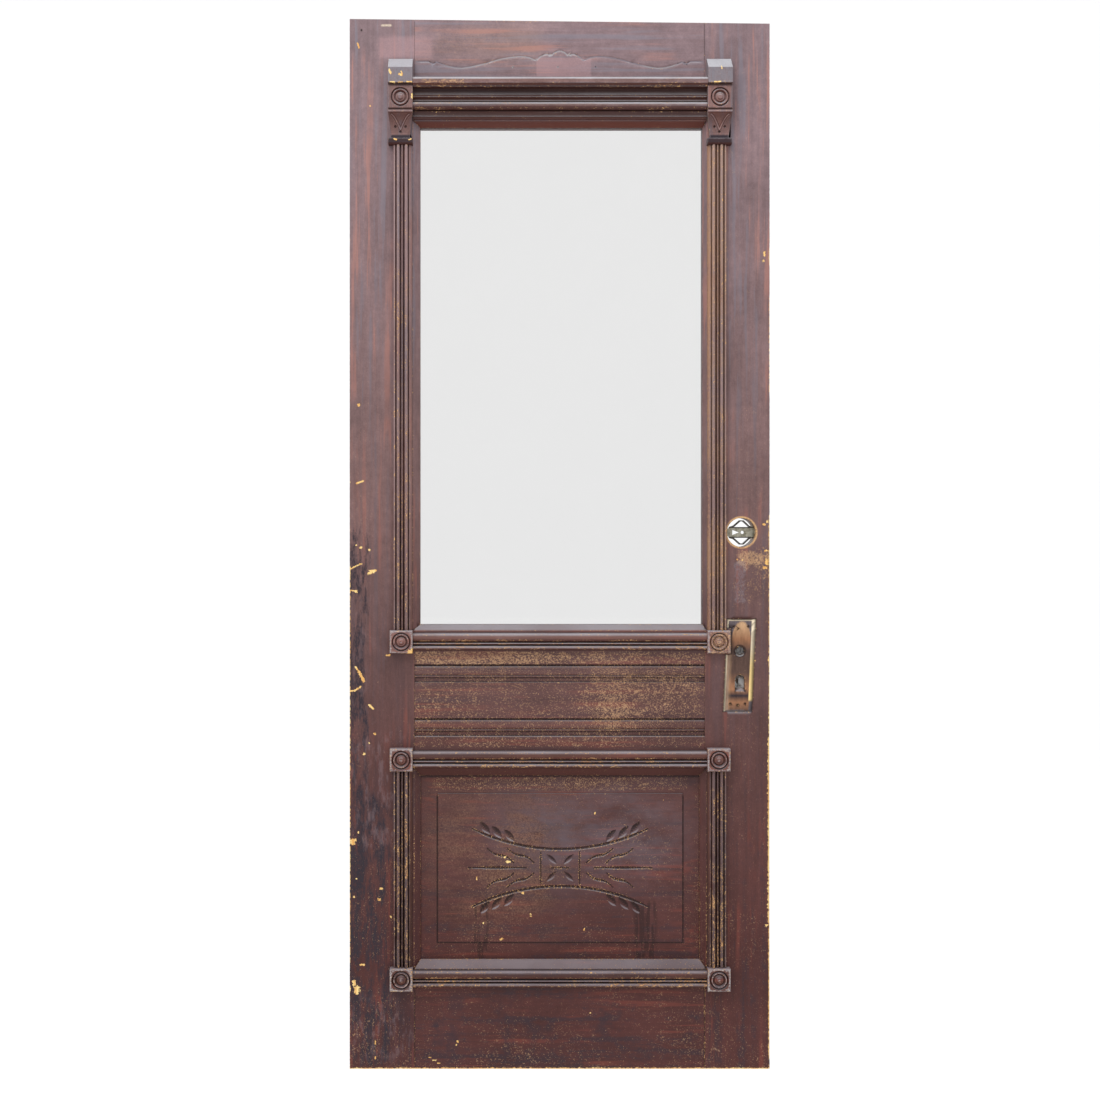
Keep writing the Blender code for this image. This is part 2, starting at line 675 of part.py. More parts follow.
def build_top_rail():
    outline = rail_outline("glass_head", "top")
    rail = frame_member("top_rail", outline, touches_panel=False)
    middle = DOOR_WIDTH / 2
    level = GLASS_HEAD + LINE_LEVEL
    crown = smooth_run(LINE_CROWN, 2)
    strokes = [[(-u, v) for u, v in crown[:0:-1]] + crown]
    for lobe in LINE_LOBES:
        strokes += [[(hand * u, v) for u, v in smooth_run(lobe, 2)] for hand in (1, -1)]
    line = bmesh.new()
    for stroke in strokes:
        path = [(middle + u, level + v, 0.0) for u, v in shortened(stroke, LINE_BREAK)]
        incision(line, path, LINE_WIDTH, even(len(path)))
    cut(rail, "incised_line", line)
    cut(rail, "nail_holes", small_holes([(u, level - LINE_NAIL_DROP) for u in LINE_NAILS], NAIL_RADIUS))


def band_cutter(top):
    """One ploughed band, cut along the whole lock rail: fillet, flat bead, arris and groove."""
    bead_low = top - BAND_FILLET - BAND_BEAD
    foot = top - BAND_HEIGHT
    profile = [(top, CUT_OVERRUN), (top, -BAND_DEPTH), (top - BAND_FILLET, -BAND_DEPTH)]
    for i in range(7):
        turn = math.pi * i / 6
        across = top - BAND_FILLET - BAND_BEAD * (1 - math.cos(turn)) / 2
        profile.append((across, -BAND_DEPTH + (BAND_DEPTH - BAND_CROWN) * math.sin(turn) ** 0.6))
    profile += [(bead_low, -BAND_DEPTH * 0.5), (bead_low - BAND_ARRIS, -BAND_DEPTH * 0.45),
                (bead_low - BAND_ARRIS, -BAND_DEPTH), (foot, -BAND_DEPTH), (foot, CUT_OVERRUN)]
    kept = [profile[0]]
    for point in profile[1:]:
        if math.dist(point, kept[-1]) > 1e-5:
            kept.append(point)
    return lengthwise(kept, HINGE_SHOULDER - CUT_OVERRUN, LOCK_SHOULDER + CUT_OVERRUN)


def build_lock_rail():
    rail = frame_member("lock_rail", rail_outline("panel_head", "glass_foot"))
    for number, top in enumerate(BAND_TOPS):
        cut(rail, "ploughed_band_%d" % number, band_cutter(top))


def build_bottom_rail():
    frame_member("bottom_rail", rail_outline("bottom", "panel_foot"), touches_glass=False)


def build_glass():
    u_low, u_high, v_low, v_high = grown(GLASS_SIGHT, REBATE_WIDTH - GLASS_CLEARANCE)
    front = -LIP_BACK - JOINT_GAP
    place("glass_pane", block(u_low, u_high, v_low, v_high, front - GLASS_THICKNESS, front), clear_glass())


def build_back_stops():
    """Four plain mitred beads that hold the glass from behind."""
    u_low, u_high, v_low, v_high = grown(GLASS_SIGHT, REBATE_WIDTH - JOINT_GAP)
    inner = GLASS_SIGHT
    gap = JOINT_GAP
    front = -LIP_BACK - GLASS_THICKNESS - 2 * JOINT_GAP
    stops = {
        "back_stop_bottom": ((u_low + gap, v_low), (u_high - gap, v_low), (inner[1] - gap, inner[2]),
                             (inner[0] + gap, inner[2])),
        "back_stop_top": ((inner[0] + gap, inner[3]), (inner[1] - gap, inner[3]), (u_high - gap, v_high),
                          (u_low + gap, v_high)),
        "back_stop_hinge_side": ((u_low, v_low + gap), (inner[0], inner[2] + gap), (inner[0], inner[3] - gap),
                                 (u_low, v_high - gap)),
        "back_stop_lock_side": ((inner[1], inner[2] + gap), (u_high, v_low + gap), (u_high, v_high - gap),
                                (inner[1], inner[3] - gap)),
    }
    over = CUT_OVERRUN
    for name, outline in stops.items():
        stop = place(name, slab(outline, -DOOR_THICKNESS, front), varnished_wood())
        cut(stop, "chamfer", stepped_rectangles((
            (grown(GLASS_SIGHT, STOP_CHAMFER + over), -DOOR_THICKNESS - over),
            (grown(GLASS_SIGHT, -over), -DOOR_THICKNESS + STOP_CHAMFER + over),
        )))


def mirrored_places(places):
    """Each place in all four quarters around a centre."""
    return [(su * u, sv * v) for u, v in places for su in (1, -1) for sv in (1, -1)]


def straight_cut(bm, start, end, level, width, count=7):
    """A straight cut in a flat face, widest at its middle."""
    path = [(start[0] + (end[0] - start[0]) * i / (count - 1), start[1] + (end[1] - start[1]) * i / (count - 1),
             level) for i in range(count)]
    carve(bm, path, width, swell(count))


def stem_height(u):
    """Height of the upper stem's curve above the field's centre."""
    return STEM_RISE + STEM_RADIUS - math.sqrt(STEM_RADIUS ** 2 - u ** 2)


def carve_field(bm, level):
    """The field's incised pattern. None of the cuts cross."""
    middle_u = (PANEL_SIGHT[0] + PANEL_SIGHT[1]) / 2
    middle_v = (PANEL_SIGHT[2] + PANEL_SIGHT[3]) / 2

    steps = 26
    for sign in (1, -1):
        path = []
        for i in range(steps + 1):
            u = STEM_HALF_LENGTH * (2 * i / steps - 1)
            path.append((middle_u + u, middle_v + sign * stem_height(u), level))
        carve(bm, path, STEM_WIDTH, even(steps + 1))

    leaf_across = math.cos(LEAF_LEAN) * LEAF_LENGTH / 2
    leaf_rise = math.sin(LEAF_LEAN) * LEAF_LENGTH / 2
    for station in LEAF_STATIONS:
        height = stem_height(station - leaf_across) + STEM_WIDTH / 2 + LEAF_GAP + leaf_rise
        for u, v in mirrored_places(((station, height),)):
            across, rise = math.copysign(leaf_across, u), math.copysign(leaf_rise, v)
            start = (middle_u + u - across, middle_v + v - rise)
            end = (middle_u + u + across, middle_v + v + rise)
            straight_cut(bm, start, end, level, LEAF_WIDTH)

    for u, v in mirrored_places(((PETAL_OFFSET, PETAL_OFFSET),)):
        half = PETAL_LENGTH / 2 * math.sqrt(0.5)
        across, rise = math.copysign(half, u), math.copysign(half, v)
        straight_cut(bm, (middle_u + u - across, middle_v + v - rise),
                     (middle_u + u + across, middle_v + v + rise), level, PETAL_WIDTH)

    for side in (1, -1):
        straight_cut(bm, (middle_u + side * LONG_RAY_START, middle_v), (middle_u + side * LONG_RAY_END, middle_v),
                     level, FINE_LINE_WIDTH)
        reach = STEM_RISE - STEM_WIDTH
        u = middle_u + side * UPRIGHT_OFFSET
        straight_cut(bm, (u, middle_v - reach), (u, middle_v + reach), level, FINE_LINE_WIDTH, 5)
    nick = PETAL_OFFSET
    straight_cut(bm, (middle_u - nick, middle_v), (middle_u + nick, middle_v), level, FINE_LINE_WIDTH, 5)

    wave = 8
    for side_u, side_v in mirrored_places(((1, 1),)):
        for start in WAVE_RAY_STARTS:
            path = []
            for i in range(wave + 1):
                t = i / wave
                u = start + WAVE_RAY_RUN * t
                v = WAVE_RAY_BASE + WAVE_RAY_RISE * (t + 0.12 * math.sin(math.tau * t))
                path.append((middle_u + side_u * u, middle_v + side_v * v, level))
            carve(bm, path, FINE_LINE_WIDTH, swell(wave + 1))


def build_panel():
    """Panel with a tongue in the frame's groove, a sloping margin and a raised, carved field."""
    reach = GROOVE_DEPTH - PANEL_CLEARANCE
    outer = grown(PANEL_SIGHT, reach)
    front = -LIP_BACK - TONGUE_CLEARANCE
    back = -LIP_BACK - GROOVE_WIDTH + TONGUE_CLEARANCE
    margins = (-FIELD_MARGIN_SIDE, -FIELD_MARGIN_SIDE, -FIELD_MARGIN_END, -FIELD_MARGIN_END)
    field = grown(PANEL_SIGHT, margins)
    bm = stepped_rectangles((
        (outer, back),
        (outer, front),
        (grown(PANEL_SIGHT, -PANEL_CLEARANCE), front),
        (field, -FIELD_SET_BACK - FIELD_SHOULDER),
        (grown(field, -SHOULDER_SLOPE), -FIELD_SET_BACK),
    ))
    face = min(bm.faces, key=lambda candidate: candidate.calc_center_median().y)
    bmesh.ops.delete(bm, geom=[face], context="FACES_ONLY")
    carve_field(bm, -FIELD_SET_BACK)
    open_edges = [edge for edge in bm.edges if edge.is_boundary]
    bmesh.ops.triangle_fill(bm, use_beauty=True, edges=open_edges, normal=at(0, 0, 1))
    place("carved_panel", bm, varnished_wood())


def rosette_cutter(u, v, face):
    """The turned hollows of a rosette, spun about its centre; the boss is left standing."""
    radius, depth = ROSETTE_RADIUS, ROSETTE_DEPTH
    section = ((1.0, -0.6), (0.92, 0.8), (0.81, 0.22), (0.75, 0.12), (0.68, 0.30), (0.59, 1.0), (0.43, 0.85),
               (0.33, 0.18), (0.28, -0.6))
    bm = bmesh.new()
    verts = [bm.verts.new(at(u + share * radius, v, face - sunk * depth)) for share, sunk in section]
    edges = [bm.edges.new((verts[i], verts[(i + 1) % len(verts)])) for i in range(len(verts))]
    bmesh.ops.spin(bm, geom=verts + edges, cent=at(u, v, face), axis=at(0, 0, 1), angle=math.tau,
                   steps=ROSETTE_SIDES, use_merge=True)
    return bm


def build_corner_block(name, u_low, v_centre):
    u_high = u_low + BLOCK_SIDE
    v_low, v_high = v_centre - BLOCK_SIDE / 2, v_centre + BLOCK_SIDE / 2
    square = (u_low, u_high, v_low, v_high)
    corner = place(name, stepped_rectangles((
        (square, PLANT_GAP),
        (square, BLOCK_DEPTH - BLOCK_CHAMFER),
        (grown(square, -BLOCK_CHAMFER), BLOCK_DEPTH),
    )), worn_moulding())
    cut(corner, "rosette", rosette_cutter((u_low + u_high) / 2, v_centre, BLOCK_DEPTH))


def sides():
    """The hinge side and the lock side, with a function that mirrors a distance from the door's edge."""
    return (("hinge_side", lambda inset, width: inset), ("lock_side", lambda inset, width: DOOR_WIDTH - inset - width))


def build_corner_blocks():
    for side, from_edge in sides():
        u_low = from_edge(BLOCK_INSET, BLOCK_SIDE)
        build_corner_block("sill_block_" + side, u_low, SILL_LINE)
        build_corner_block("panel_block_top_" + side, u_low, PANEL_TRIM_TOP)
        build_corner_block("panel_block_bottom_" + side, u_low, PANEL_TRIM_BOTTOM)


def upright_reed(name, side, v_low, v_high):
    """A reeded strip that stands between two blocks, its plain fillet towards the door's edge."""
    profile = moulding_profile(UPRIGHT_REED)
    if side == "hinge_side":
        profile = [(REED_INSET + u, d) for u, d in profile]
    else:
        profile = [(DOOR_WIDTH - REED_INSET - u, d) for u, d in profile]
    place(name, upright(profile, v_low + JOINT_GAP, v_high - JOINT_GAP), worn_moulding())


def level_reed(name, v_centre):
    """A reeded strip that lies between two blocks, its broad reed uppermost."""
    top = v_centre + moulding_width(LEVEL_REED) / 2
    profile = [(top - v, d) for v, d in moulding_profile(LEVEL_REED)]
    inner = BLOCK_INSET + BLOCK_SIDE + JOINT_GAP
    place(name, lengthwise(profile, inner, DOOR_WIDTH - inner), worn_moulding())


def build_reeds():
    half = BLOCK_SIDE / 2
    for side, _ in sides():
        upright_reed("glass_reed_" + side, side, SILL_LINE + half, CONSOLE_FOOT)
        upright_reed("panel_reed_" + side, side, PANEL_TRIM_BOTTOM + half, PANEL_TRIM_TOP - half)
    level_reed("sill_reed", SILL_LINE)
    level_reed("panel_reed_top", PANEL_TRIM_TOP)
    level_reed("panel_reed_bottom", PANEL_TRIM_BOTTOM)


def build_head_moulding():
    profile = [(HEAD_FOOT + v, d) for v, d in moulding_profile(HEAD_MEMBERS)]
    inner = CONSOLE_INSET + CONSOLE_WIDTH + JOINT_GAP
    place("head_moulding", lengthwise(profile, inner, DOOR_WIDTH - inner), worn_moulding())


def bracket_depth(share):
    """Depth of the bracket's hollow front, from its foot (0) to its head (1)."""
    return NECK_DEPTH + (BRACKET_DEPTH - NECK_DEPTH) * share ** 2.2


def console_profile():
    """Side view of a console in v and d, from its foot up."""
    v = CONSOLE_FOOT
    points = [(v, PLANT_GAP), (v, ABACUS_DEPTH - ABACUS_SPLAY), (v + ABACUS_SPLAY, ABACUS_DEPTH)]
    v += ABACUS_HEIGHT
    points += [(v, ABACUS_DEPTH), (v, NECK_DEPTH)]
    v += NECK_HEIGHT
    for i in range(9):
        points.append((v + BRACKET_HEIGHT * i / 8, bracket_depth(i / 8)))
    v += BRACKET_HEIGHT
    points.append((v, ASTRAGAL_DEPTH))
    v += ASTRAGAL_HEIGHT
    points += [(v, ASTRAGAL_DEPTH), (v, QUIRK_DEPTH)]
    v += QUIRK_HEIGHT
    points += [(v, QUIRK_DEPTH), (v, ROSETTE_BLOCK_DEPTH)]
    v += ROSETTE_BLOCK_HEIGHT
    points += [(v, ROSETTE_BLOCK_DEPTH), (v, QUIRK_DEPTH)]
    v += QUIRK_HEIGHT
    points += [(v, QUIRK_DEPTH), (v, CAP_DEPTH)]
    v += CAP_FACE_HEIGHT
    points.append((v, CAP_DEPTH))
    v += CAP_SLOPE_HEIGHT
    points += [(v, CAP_TOP_DEPTH), (v, PLANT_GAP)]
    return points


def build_console(side, from_edge):
    """Cap, rosette block and carved bracket, all of one block."""
    u_low = from_edge(CONSOLE_INSET, CONSOLE_WIDTH)
    u_high = u_low + CONSOLE_WIDTH
    centre = (u_low + u_high) / 2
    console = place("console_" + side, lengthwise(console_profile(), u_low, u_high), worn_moulding())

    neck = CONSOLE_FOOT + ABACUS_HEIGHT
    bracket_foot = neck + NECK_HEIGHT
    bracket_head = bracket_foot + BRACKET_HEIGHT
    over = CUT_OVERRUN
    cheeks = bmesh.new()
    for outer, inward in ((u_low, 1), (u_high, -1)):
        slab(((outer - inward * over, neck), (outer + inward * BRACKET_TAPER, neck),
              (outer + inward * BRACKET_TAPER, bracket_foot), (outer, bracket_head),
              (outer - inward * over, bracket_head)), -over, ASTRAGAL_DEPTH + over, cheeks)
    cut(console, "bracket_cheeks", cheeks)

    rosette_v = bracket_head + ASTRAGAL_HEIGHT + QUIRK_HEIGHT + ROSETTE_BLOCK_HEIGHT / 2
    cut(console, "rosette", rosette_cutter(centre, rosette_v, ROSETTE_BLOCK_DEPTH))

    leaf = bmesh.new()
    half = CONSOLE_WIDTH / 2 - BRACKET_TAPER
    for hand in (1, -1):
        path = []
        for i in range(8):
            t = i / 7
            share = 0.90 - 0.52 * t
            u = centre + hand * half * (0.95 - 0.83 * t ** 0.7)
            path.append((u, bracket_foot + BRACKET_HEIGHT * share, bracket_depth(share)))
        incision(leaf, path, LEAF_CUT_WIDTH, swell(8))
    cut(console, "leaf_cuts", leaf)
    drills = bmesh.new()
    for hand, share in ((0.0, 0.20), (0.55, 0.42), (-0.55, 0.42)):
        cylinder(centre + hand * half, bracket_foot + BRACKET_HEIGHT * share, LEAF_DRILL_RADIUS,
                 bracket_depth(share) - 2 * LEAF_DRILL_RADIUS, ASTRAGAL_DEPTH + over, 8, drills)
    cut(console, "leaf_drills", drills)


def latch_tube(radius, u_low, u_high):
    """The round latch body, or its bore, along u at the middle of the thickness."""
    sides_count = 20
    middle = -DOOR_THICKNESS / 2
    ring = [at(u_low, BORE_HEIGHT + radius * math.cos(math.tau * i / sides_count),
               middle + radius * math.sin(math.tau * i / sides_count)) for i in range(sides_count)]
    return extruded(ring, at(u_high - u_low, 0, 0))


def bent_strip(keys, width):
    """A strip of plate bent along its keys, closed into an outline."""
    near, far = [], []
    for i, key in enumerate(keys):
        before = Vector(keys[max(i - 1, 0)])
        after = Vector(keys[min(i + 1, len(keys) - 1)])
        along = (after - before).normalized()
        side = Vector((-along.y, along.x)) * width / 2
        near.append(tuple(Vector(key) + side))
        far.append(tuple(Vector(key) - side))
    return near + far[::-1]


def build_latch():
    """Latch body in the cross bore, with its flat drive bar and bent cradle across the big bore."""
    bore_u = DOOR_WIDTH - BORE_BACKSET
    radius = BORE_DIAMETER / 2
    edge = bore_u + math.sqrt(radius ** 2 - (BAR_HEIGHT / 2) ** 2)
    middle = -DOOR_THICKNESS / 2
    tube = latch_tube(CROSS_BORE_DIAMETER / 2 - LATCH_CLEARANCE, edge, DOOR_WIDTH)
    latch = place("deadbolt_latch", tube, zinc_plate())
    left = bore_u - radius + 0.003
    half = BAR_HEIGHT / 2
    bar = slab(((left, BORE_HEIGHT - half * 0.45), (left + half * 0.5, BORE_HEIGHT - half),
                (edge + 0.002, BORE_HEIGHT - half), (edge + 0.002, BORE_HEIGHT + half),
                (left + half * 0.5, BORE_HEIGHT + half), (left, BORE_HEIGHT + half * 0.45)),
               middle - BAR_THICKNESS / 2, middle + BAR_THICKNESS / 2)
    join(latch, "drive_bar", bar)
    for name, hand in (("upper_cradle", 1), ("lower_cradle", -1)):
        keys = [(left + half * 0.45, BORE_HEIGHT + hand * half * 0.90),
                (bore_u - radius * 0.42, BORE_HEIGHT + hand * half * 1.15),
                (bore_u, BORE_HEIGHT + hand * CRADLE_REACH),
                (bore_u + radius * 0.22, BORE_HEIGHT + hand * CRADLE_REACH),
                (bore_u + radius * 0.62, BORE_HEIGHT + hand * half * 1.15),
                (edge - 0.0015, BORE_HEIGHT + hand * half * 0.80)]
        join(latch, name, slab(bent_strip(keys, CRADLE_STRIP), middle - CRADLE_WIDTH / 2, middle + CRADLE_WIDTH / 2))
    over = CUT_OVERRUN
    holes = cylinder(bore_u + radius * 0.18, BORE_HEIGHT, BAR_HOLE_RADIUS,
                     middle - BAR_THICKNESS / 2 - over, middle + BAR_THICKNESS / 2 + over, 12)
    window = bore_u - radius * 0.52
    slab(((window, BORE_HEIGHT - BAR_WINDOW_HEIGHT / 2), (window + BAR_WINDOW_LENGTH, BORE_HEIGHT),
          (window, BORE_HEIGHT + BAR_WINDOW_HEIGHT / 2)),
         middle - BAR_THICKNESS / 2 - over, middle + BAR_THICKNESS / 2 + over, holes)
    cut(latch, "bar_holes", holes)


def build_lock_case():
    """Steel case in the lock mortise, with its key slot and the square of its follower."""
    back = case_back()
    front = back + CASE_THICKNESS
    case = place("mortise_lock_case", block(DOOR_WIDTH - CASE_DEPTH, DOOR_WIDTH, CASE_FOOT,
                                            CASE_FOOT + CASE_HEIGHT, back, front), lock_steel())
    over = CUT_OVERRUN
    half = KEY_SLOT_WIDTH / 2
    centre = DOOR_WIDTH - SPINDLE_BACKSET - KEY_SLOT_OFFSET
    foot = KEYHOLE_FOOT + half
    top = foot + KEY_SLOT_HEIGHT - half
    arch = [(centre + half * math.cos(math.pi * i / 6), top + half * math.sin(math.pi * i / 6)) for i in range(7)]
    openings = slab([(centre - half, foot), (centre + half, foot)] + arch, front - CASE_CUT_DEPTH, front + over)
    spindle_u = DOOR_WIDTH - SPINDLE_BACKSET
    side = SPINDLE_SQUARE / 2
    block(spindle_u - side, spindle_u + side, SPINDLE_HEIGHT - side, SPINDLE_HEIGHT + side,
          front - CASE_CUT_DEPTH, front + over, openings)
    cut(case, "case_openings", openings)


def clear_scene():
    for thing in list(bpy.data.objects):
        bpy.data.objects.remove(thing, do_unlink=True)


def build_door():
    clear_scene()
    door_frame = bpy.data.objects.new("door_frame", None)
    bpy.context.scene.collection.objects.link(door_frame)
    door_frame.location = (-GAIN_DEPTH, GAIN_WIDTH / 2 - DOOR_THICKNESS, -MIDDLE_HINGE_CENTRE)
    build_hinge_stile()
    build_lock_stile()
    build_top_rail()
    build_lock_rail()
    build_bottom_rail()
    build_panel()
    build_glass()
    build_back_stops()
    build_corner_blocks()
    build_reeds()
    build_head_moulding()
    for side, from_edge in sides():
        build_console(side, from_edge)
    build_latch()
    build_lock_case()


build_door()
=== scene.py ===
import math
from functools import partial, reduce

import bmesh
import bpy
import numpy as np
from bpy.props import FloatProperty, FloatVectorProperty, PointerProperty
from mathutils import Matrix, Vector, noise


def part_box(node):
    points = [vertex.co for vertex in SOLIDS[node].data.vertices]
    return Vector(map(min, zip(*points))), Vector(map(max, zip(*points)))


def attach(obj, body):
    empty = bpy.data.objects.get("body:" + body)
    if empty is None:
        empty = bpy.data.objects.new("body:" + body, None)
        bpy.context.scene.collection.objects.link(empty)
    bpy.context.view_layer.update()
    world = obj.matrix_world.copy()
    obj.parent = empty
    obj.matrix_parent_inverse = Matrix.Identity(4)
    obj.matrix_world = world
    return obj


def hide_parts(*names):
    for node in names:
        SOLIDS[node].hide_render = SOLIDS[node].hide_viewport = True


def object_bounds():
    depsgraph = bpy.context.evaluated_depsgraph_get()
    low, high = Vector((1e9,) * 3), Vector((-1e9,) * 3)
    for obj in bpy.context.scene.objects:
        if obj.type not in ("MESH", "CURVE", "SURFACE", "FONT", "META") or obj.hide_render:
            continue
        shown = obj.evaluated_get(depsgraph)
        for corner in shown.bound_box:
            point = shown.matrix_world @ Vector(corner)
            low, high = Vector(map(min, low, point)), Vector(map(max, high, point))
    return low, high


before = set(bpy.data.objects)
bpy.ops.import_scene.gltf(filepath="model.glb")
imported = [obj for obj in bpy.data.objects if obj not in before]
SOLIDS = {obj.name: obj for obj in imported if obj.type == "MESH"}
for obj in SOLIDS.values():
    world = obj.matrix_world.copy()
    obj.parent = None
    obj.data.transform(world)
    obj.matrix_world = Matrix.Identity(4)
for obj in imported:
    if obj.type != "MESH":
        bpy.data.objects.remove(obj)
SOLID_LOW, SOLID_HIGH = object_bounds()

bl_info = {
    "name": "Cottage Door",
    "version": (1, 0, 0),
    "blender": (4, 5, 0),
    "location": "View3D > Sidebar > Door",
    "description": "Dresses the framed cottage door: worn varnish, reeds, rosettes, consoles and carving",
    "category": "Object",
}

# The door's own measures: u from the hinge edge, v from the bottom edge, d proud of the front face
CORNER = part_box("hinge_stile")[0]
DOOR_WIDTH = SOLID_HIGH.x - CORNER.x
DOOR_HEIGHT = SOLID_HIGH.z - CORNER.z

# Photograph, in its own 1100 x 1100 pixels: the door's bottom left corner and the size of a pixel on its face
PHOTO_LEFT = 349.3
PHOTO_FOOT = 1069.2
PIXEL = 0.001936
# The photographed side's marks fade out between these depths, so that the hidden back stays plain
MARKS_END = (0.017, 0.022)

BORE_U, BORE_V = DOOR_WIDTH - 0.0547, 1.039
SPINDLE_U, SPINDLE_V = DOOR_WIDTH - 0.0573, 0.8095
BED_LEFT, BED_FOOT = DOOR_WIDTH - 0.0902, 0.6919
BED_WIDTH, BED_HEIGHT, BED_DEPTH, BED_LEAN = 0.0564, 0.1800, 0.0022, 0.0078
SIDES = ("hinge_side", "lock_side")
FRAME_MEMBERS = ("hinge_stile", "lock_stile", "top_rail", "lock_rail", "bottom_rail")


def at(u, v, d):
    """A point of the door in the shared frame."""
    return Vector((CORNER.x + u, CORNER.y - d, CORNER.z + v))


def spot(px, py):
    """The (u, v) of a pixel of the photograph."""
    return (px - PHOTO_LEFT) * PIXEL, (PHOTO_FOOT - py) * PIXEL


def tone(red, green, blue):
    """A colour as read off a photograph, made linear."""
    return tuple((c / 255 / 12.92) if c < 10.3 else ((c / 255 + 0.055) / 1.055) ** 2.4 for c in (red, green, blue))


def held(value, low, high):
    return max(low, min(high, value))


def settings():
    return bpy.context.scene.cottage_door


class Surface:
    """A Principled material whose pattern is put together step by step."""

    def __init__(self, name, **values):
        self.material = bpy.data.materials.new(name)
        self.material.use_nodes = True
        self.nodes = self.material.node_tree.nodes
        self.links = self.material.node_tree.links
        self.shader = self.nodes["Principled BSDF"]
        for socket, value in values.items():
            self.shader.inputs[socket.replace("_", " ")].default_value = value
        self.place = self.nodes.new("ShaderNodeTexCoord").outputs["Object"]
        axes = self.nodes.new("ShaderNodeSeparateXYZ")
        self.links.new(self.place, axes.inputs[0])
        self.x, self.y, self.z = axes.outputs
        self.front = self.step(self.y, CORNER.y + MARKS_END[0], CORNER.y + MARKS_END[1], 1.0, 0.0)

    def feed(self, socket, value):
        if isinstance(value, bpy.types.NodeSocket):
            self.links.new(value, socket)
        else:
            socket.default_value = value

    def maths(self, operation, a, b=0.0):
        node = self.nodes.new("ShaderNodeMath")
        node.operation = operation
        self.feed(node.inputs[0], a)
        self.feed(node.inputs[1], b)
        return node.outputs[0]

    def share(self, value, low, high, to_low=0.0, to_high=1.0, way="LINEAR"):
        """A number that goes from to_low to to_high as the value goes from low to high, and no further."""
        node = self.nodes.new("ShaderNodeMapRange")
        node.interpolation_type = way
        for socket, given in zip(node.inputs[:5], (value, low, high, to_low, to_high)):
            self.feed(socket, given)
        return node.outputs[0]

    def step(self, *given):
        """As share, with a smooth start and end."""
        return self.share(*given, way="SMOOTHSTEP")

    def times(self, *values):
        return reduce(partial(self.maths, "MULTIPLY"), values)

    def plus(self, *values):
        return reduce(partial(self.maths, "ADD"), values)

    def most(self, *values):
        return reduce(partial(self.maths, "MAXIMUM"), values)

    def swing(self, value, reach):
        """A noise value as a number that swings evenly about 0."""
        return self.times(self.plus(value, -0.5), reach)

    def toned(self, colour, value, low, high, dark, light):
        """The colour made darker or lighter as the value goes from low to high."""
        return self.over(1.0, colour, self.ramp(value, ((low, (dark,) * 3), (high, (light,) * 3))), "MULTIPLY")

    def stretched(self, scale):
        node = self.nodes.new("ShaderNodeMapping")
        self.links.new(self.place, node.inputs["Vector"])
        node.inputs["Scale"].default_value = scale
        return node.outputs[0]

    def noise(self, place, scale, detail=4.0, roughness=0.55):
        node = self.nodes.new("ShaderNodeTexNoise")
        self.links.new(place, node.inputs["Vector"])
        for name, value in (("Scale", scale), ("Detail", detail), ("Roughness", roughness)):
            node.inputs[name].default_value = value
        return node.outputs[0]

    def attribute(self, name):
        node = self.nodes.new("ShaderNodeAttribute")
        node.attribute_name = name
        return node.outputs["Fac"]

    def over(self, factor, under, above, way="MIX"):
        node = self.nodes.new("ShaderNodeMix")
        node.data_type = "RGBA"
        node.blend_type = way
        self.feed(node.inputs[0], factor)
        for socket, value in ((node.inputs[6], under), (node.inputs[7], above)):
            self.feed(socket, value if isinstance(value, bpy.types.NodeSocket) else (*value, 1.0))
        return node.outputs[2]

    def ramp(self, value, stops):
        node = self.nodes.new("ShaderNodeValToRGB")
        self.links.new(value, node.inputs[0])
        elements = node.color_ramp.elements
        while len(elements) < len(stops):
            elements.new(0.5)
        for element, (position, colour) in zip(elements, stops):
            element.position = position
            element.color = (*colour, 1.0)
        return node.outputs[0]

    def within(self, value, low, high, soft):
        """1 from low to high, falling softly to 0 around them."""
        return self.times(self.step(value, low - soft, low + soft),
                          self.step(value, high - soft, high + soft, 1.0, 0.0))

    def seen(self, left, top, right, foot, soft):
        """1 inside a rectangle of the photograph's pixels, on the front and the near part of the door's edges."""
        low, high = at(*spot(left, foot), 0), at(*spot(right, top), 0)
        return self.times(self.front, self.within(self.x, low.x, high.x, soft * PIXEL),
                          self.within(self.z, low.z, high.z, soft * PIXEL))

    def apart(self, u, v):
        """Distance from a place on the door's face."""
        across, up = self.plus(self.x, -CORNER.x - u), self.plus(self.z, -CORNER.z - v)
        return self.maths("SQRT", self.plus(self.times(across, across), self.times(up, up)))

    def finish(self, colour, roughness, height, depth, soft_edge=0.0008):
        """Joins the pattern to the shader: colour, roughness and a relief of the given depth in metres."""
        self.feed(self.shader.inputs["Base Color"], colour)
        self.feed(self.shader.inputs["Roughness"], roughness)
        bump = self.nodes.new("ShaderNodeBump")
        bump.inputs["Distance"].default_value = depth
        self.links.new(height, bump.inputs["Height"])
        if soft_edge:
            rounded = self.nodes.new("ShaderNodeBevel")
            rounded.samples = 4
            rounded.inputs["Radius"].default_value = soft_edge
            self.links.new(rounded.outputs[0], bump.inputs["Normal"])
        self.links.new(bump.outputs[0], self.shader.inputs["Normal"])
        return self.material


# Noise patterns of the varnish: scale, detail and roughness
CLOUD, MOTTLE, FLECK, DRIFT = (9.0, 4.0, 0.6), (70.0, 4.0, 0.65), (500.0, 3.0, 0.7), (7.0, 3.0)
GRAINS, STREAKS, TAR = (130.0, 6.0, 0.7), (88.0, 4.0, 0.6), (46.0, 5.0, 0.75)
FIBRE_STRETCH = 0.04
# Heights at which the coat has its foot, low, middle and high colour, as shares of the door's height; its lightening
# towards the top is painted glare from above
COAT_HEIGHTS = (0.12, 0.30, 0.56, 0.92)
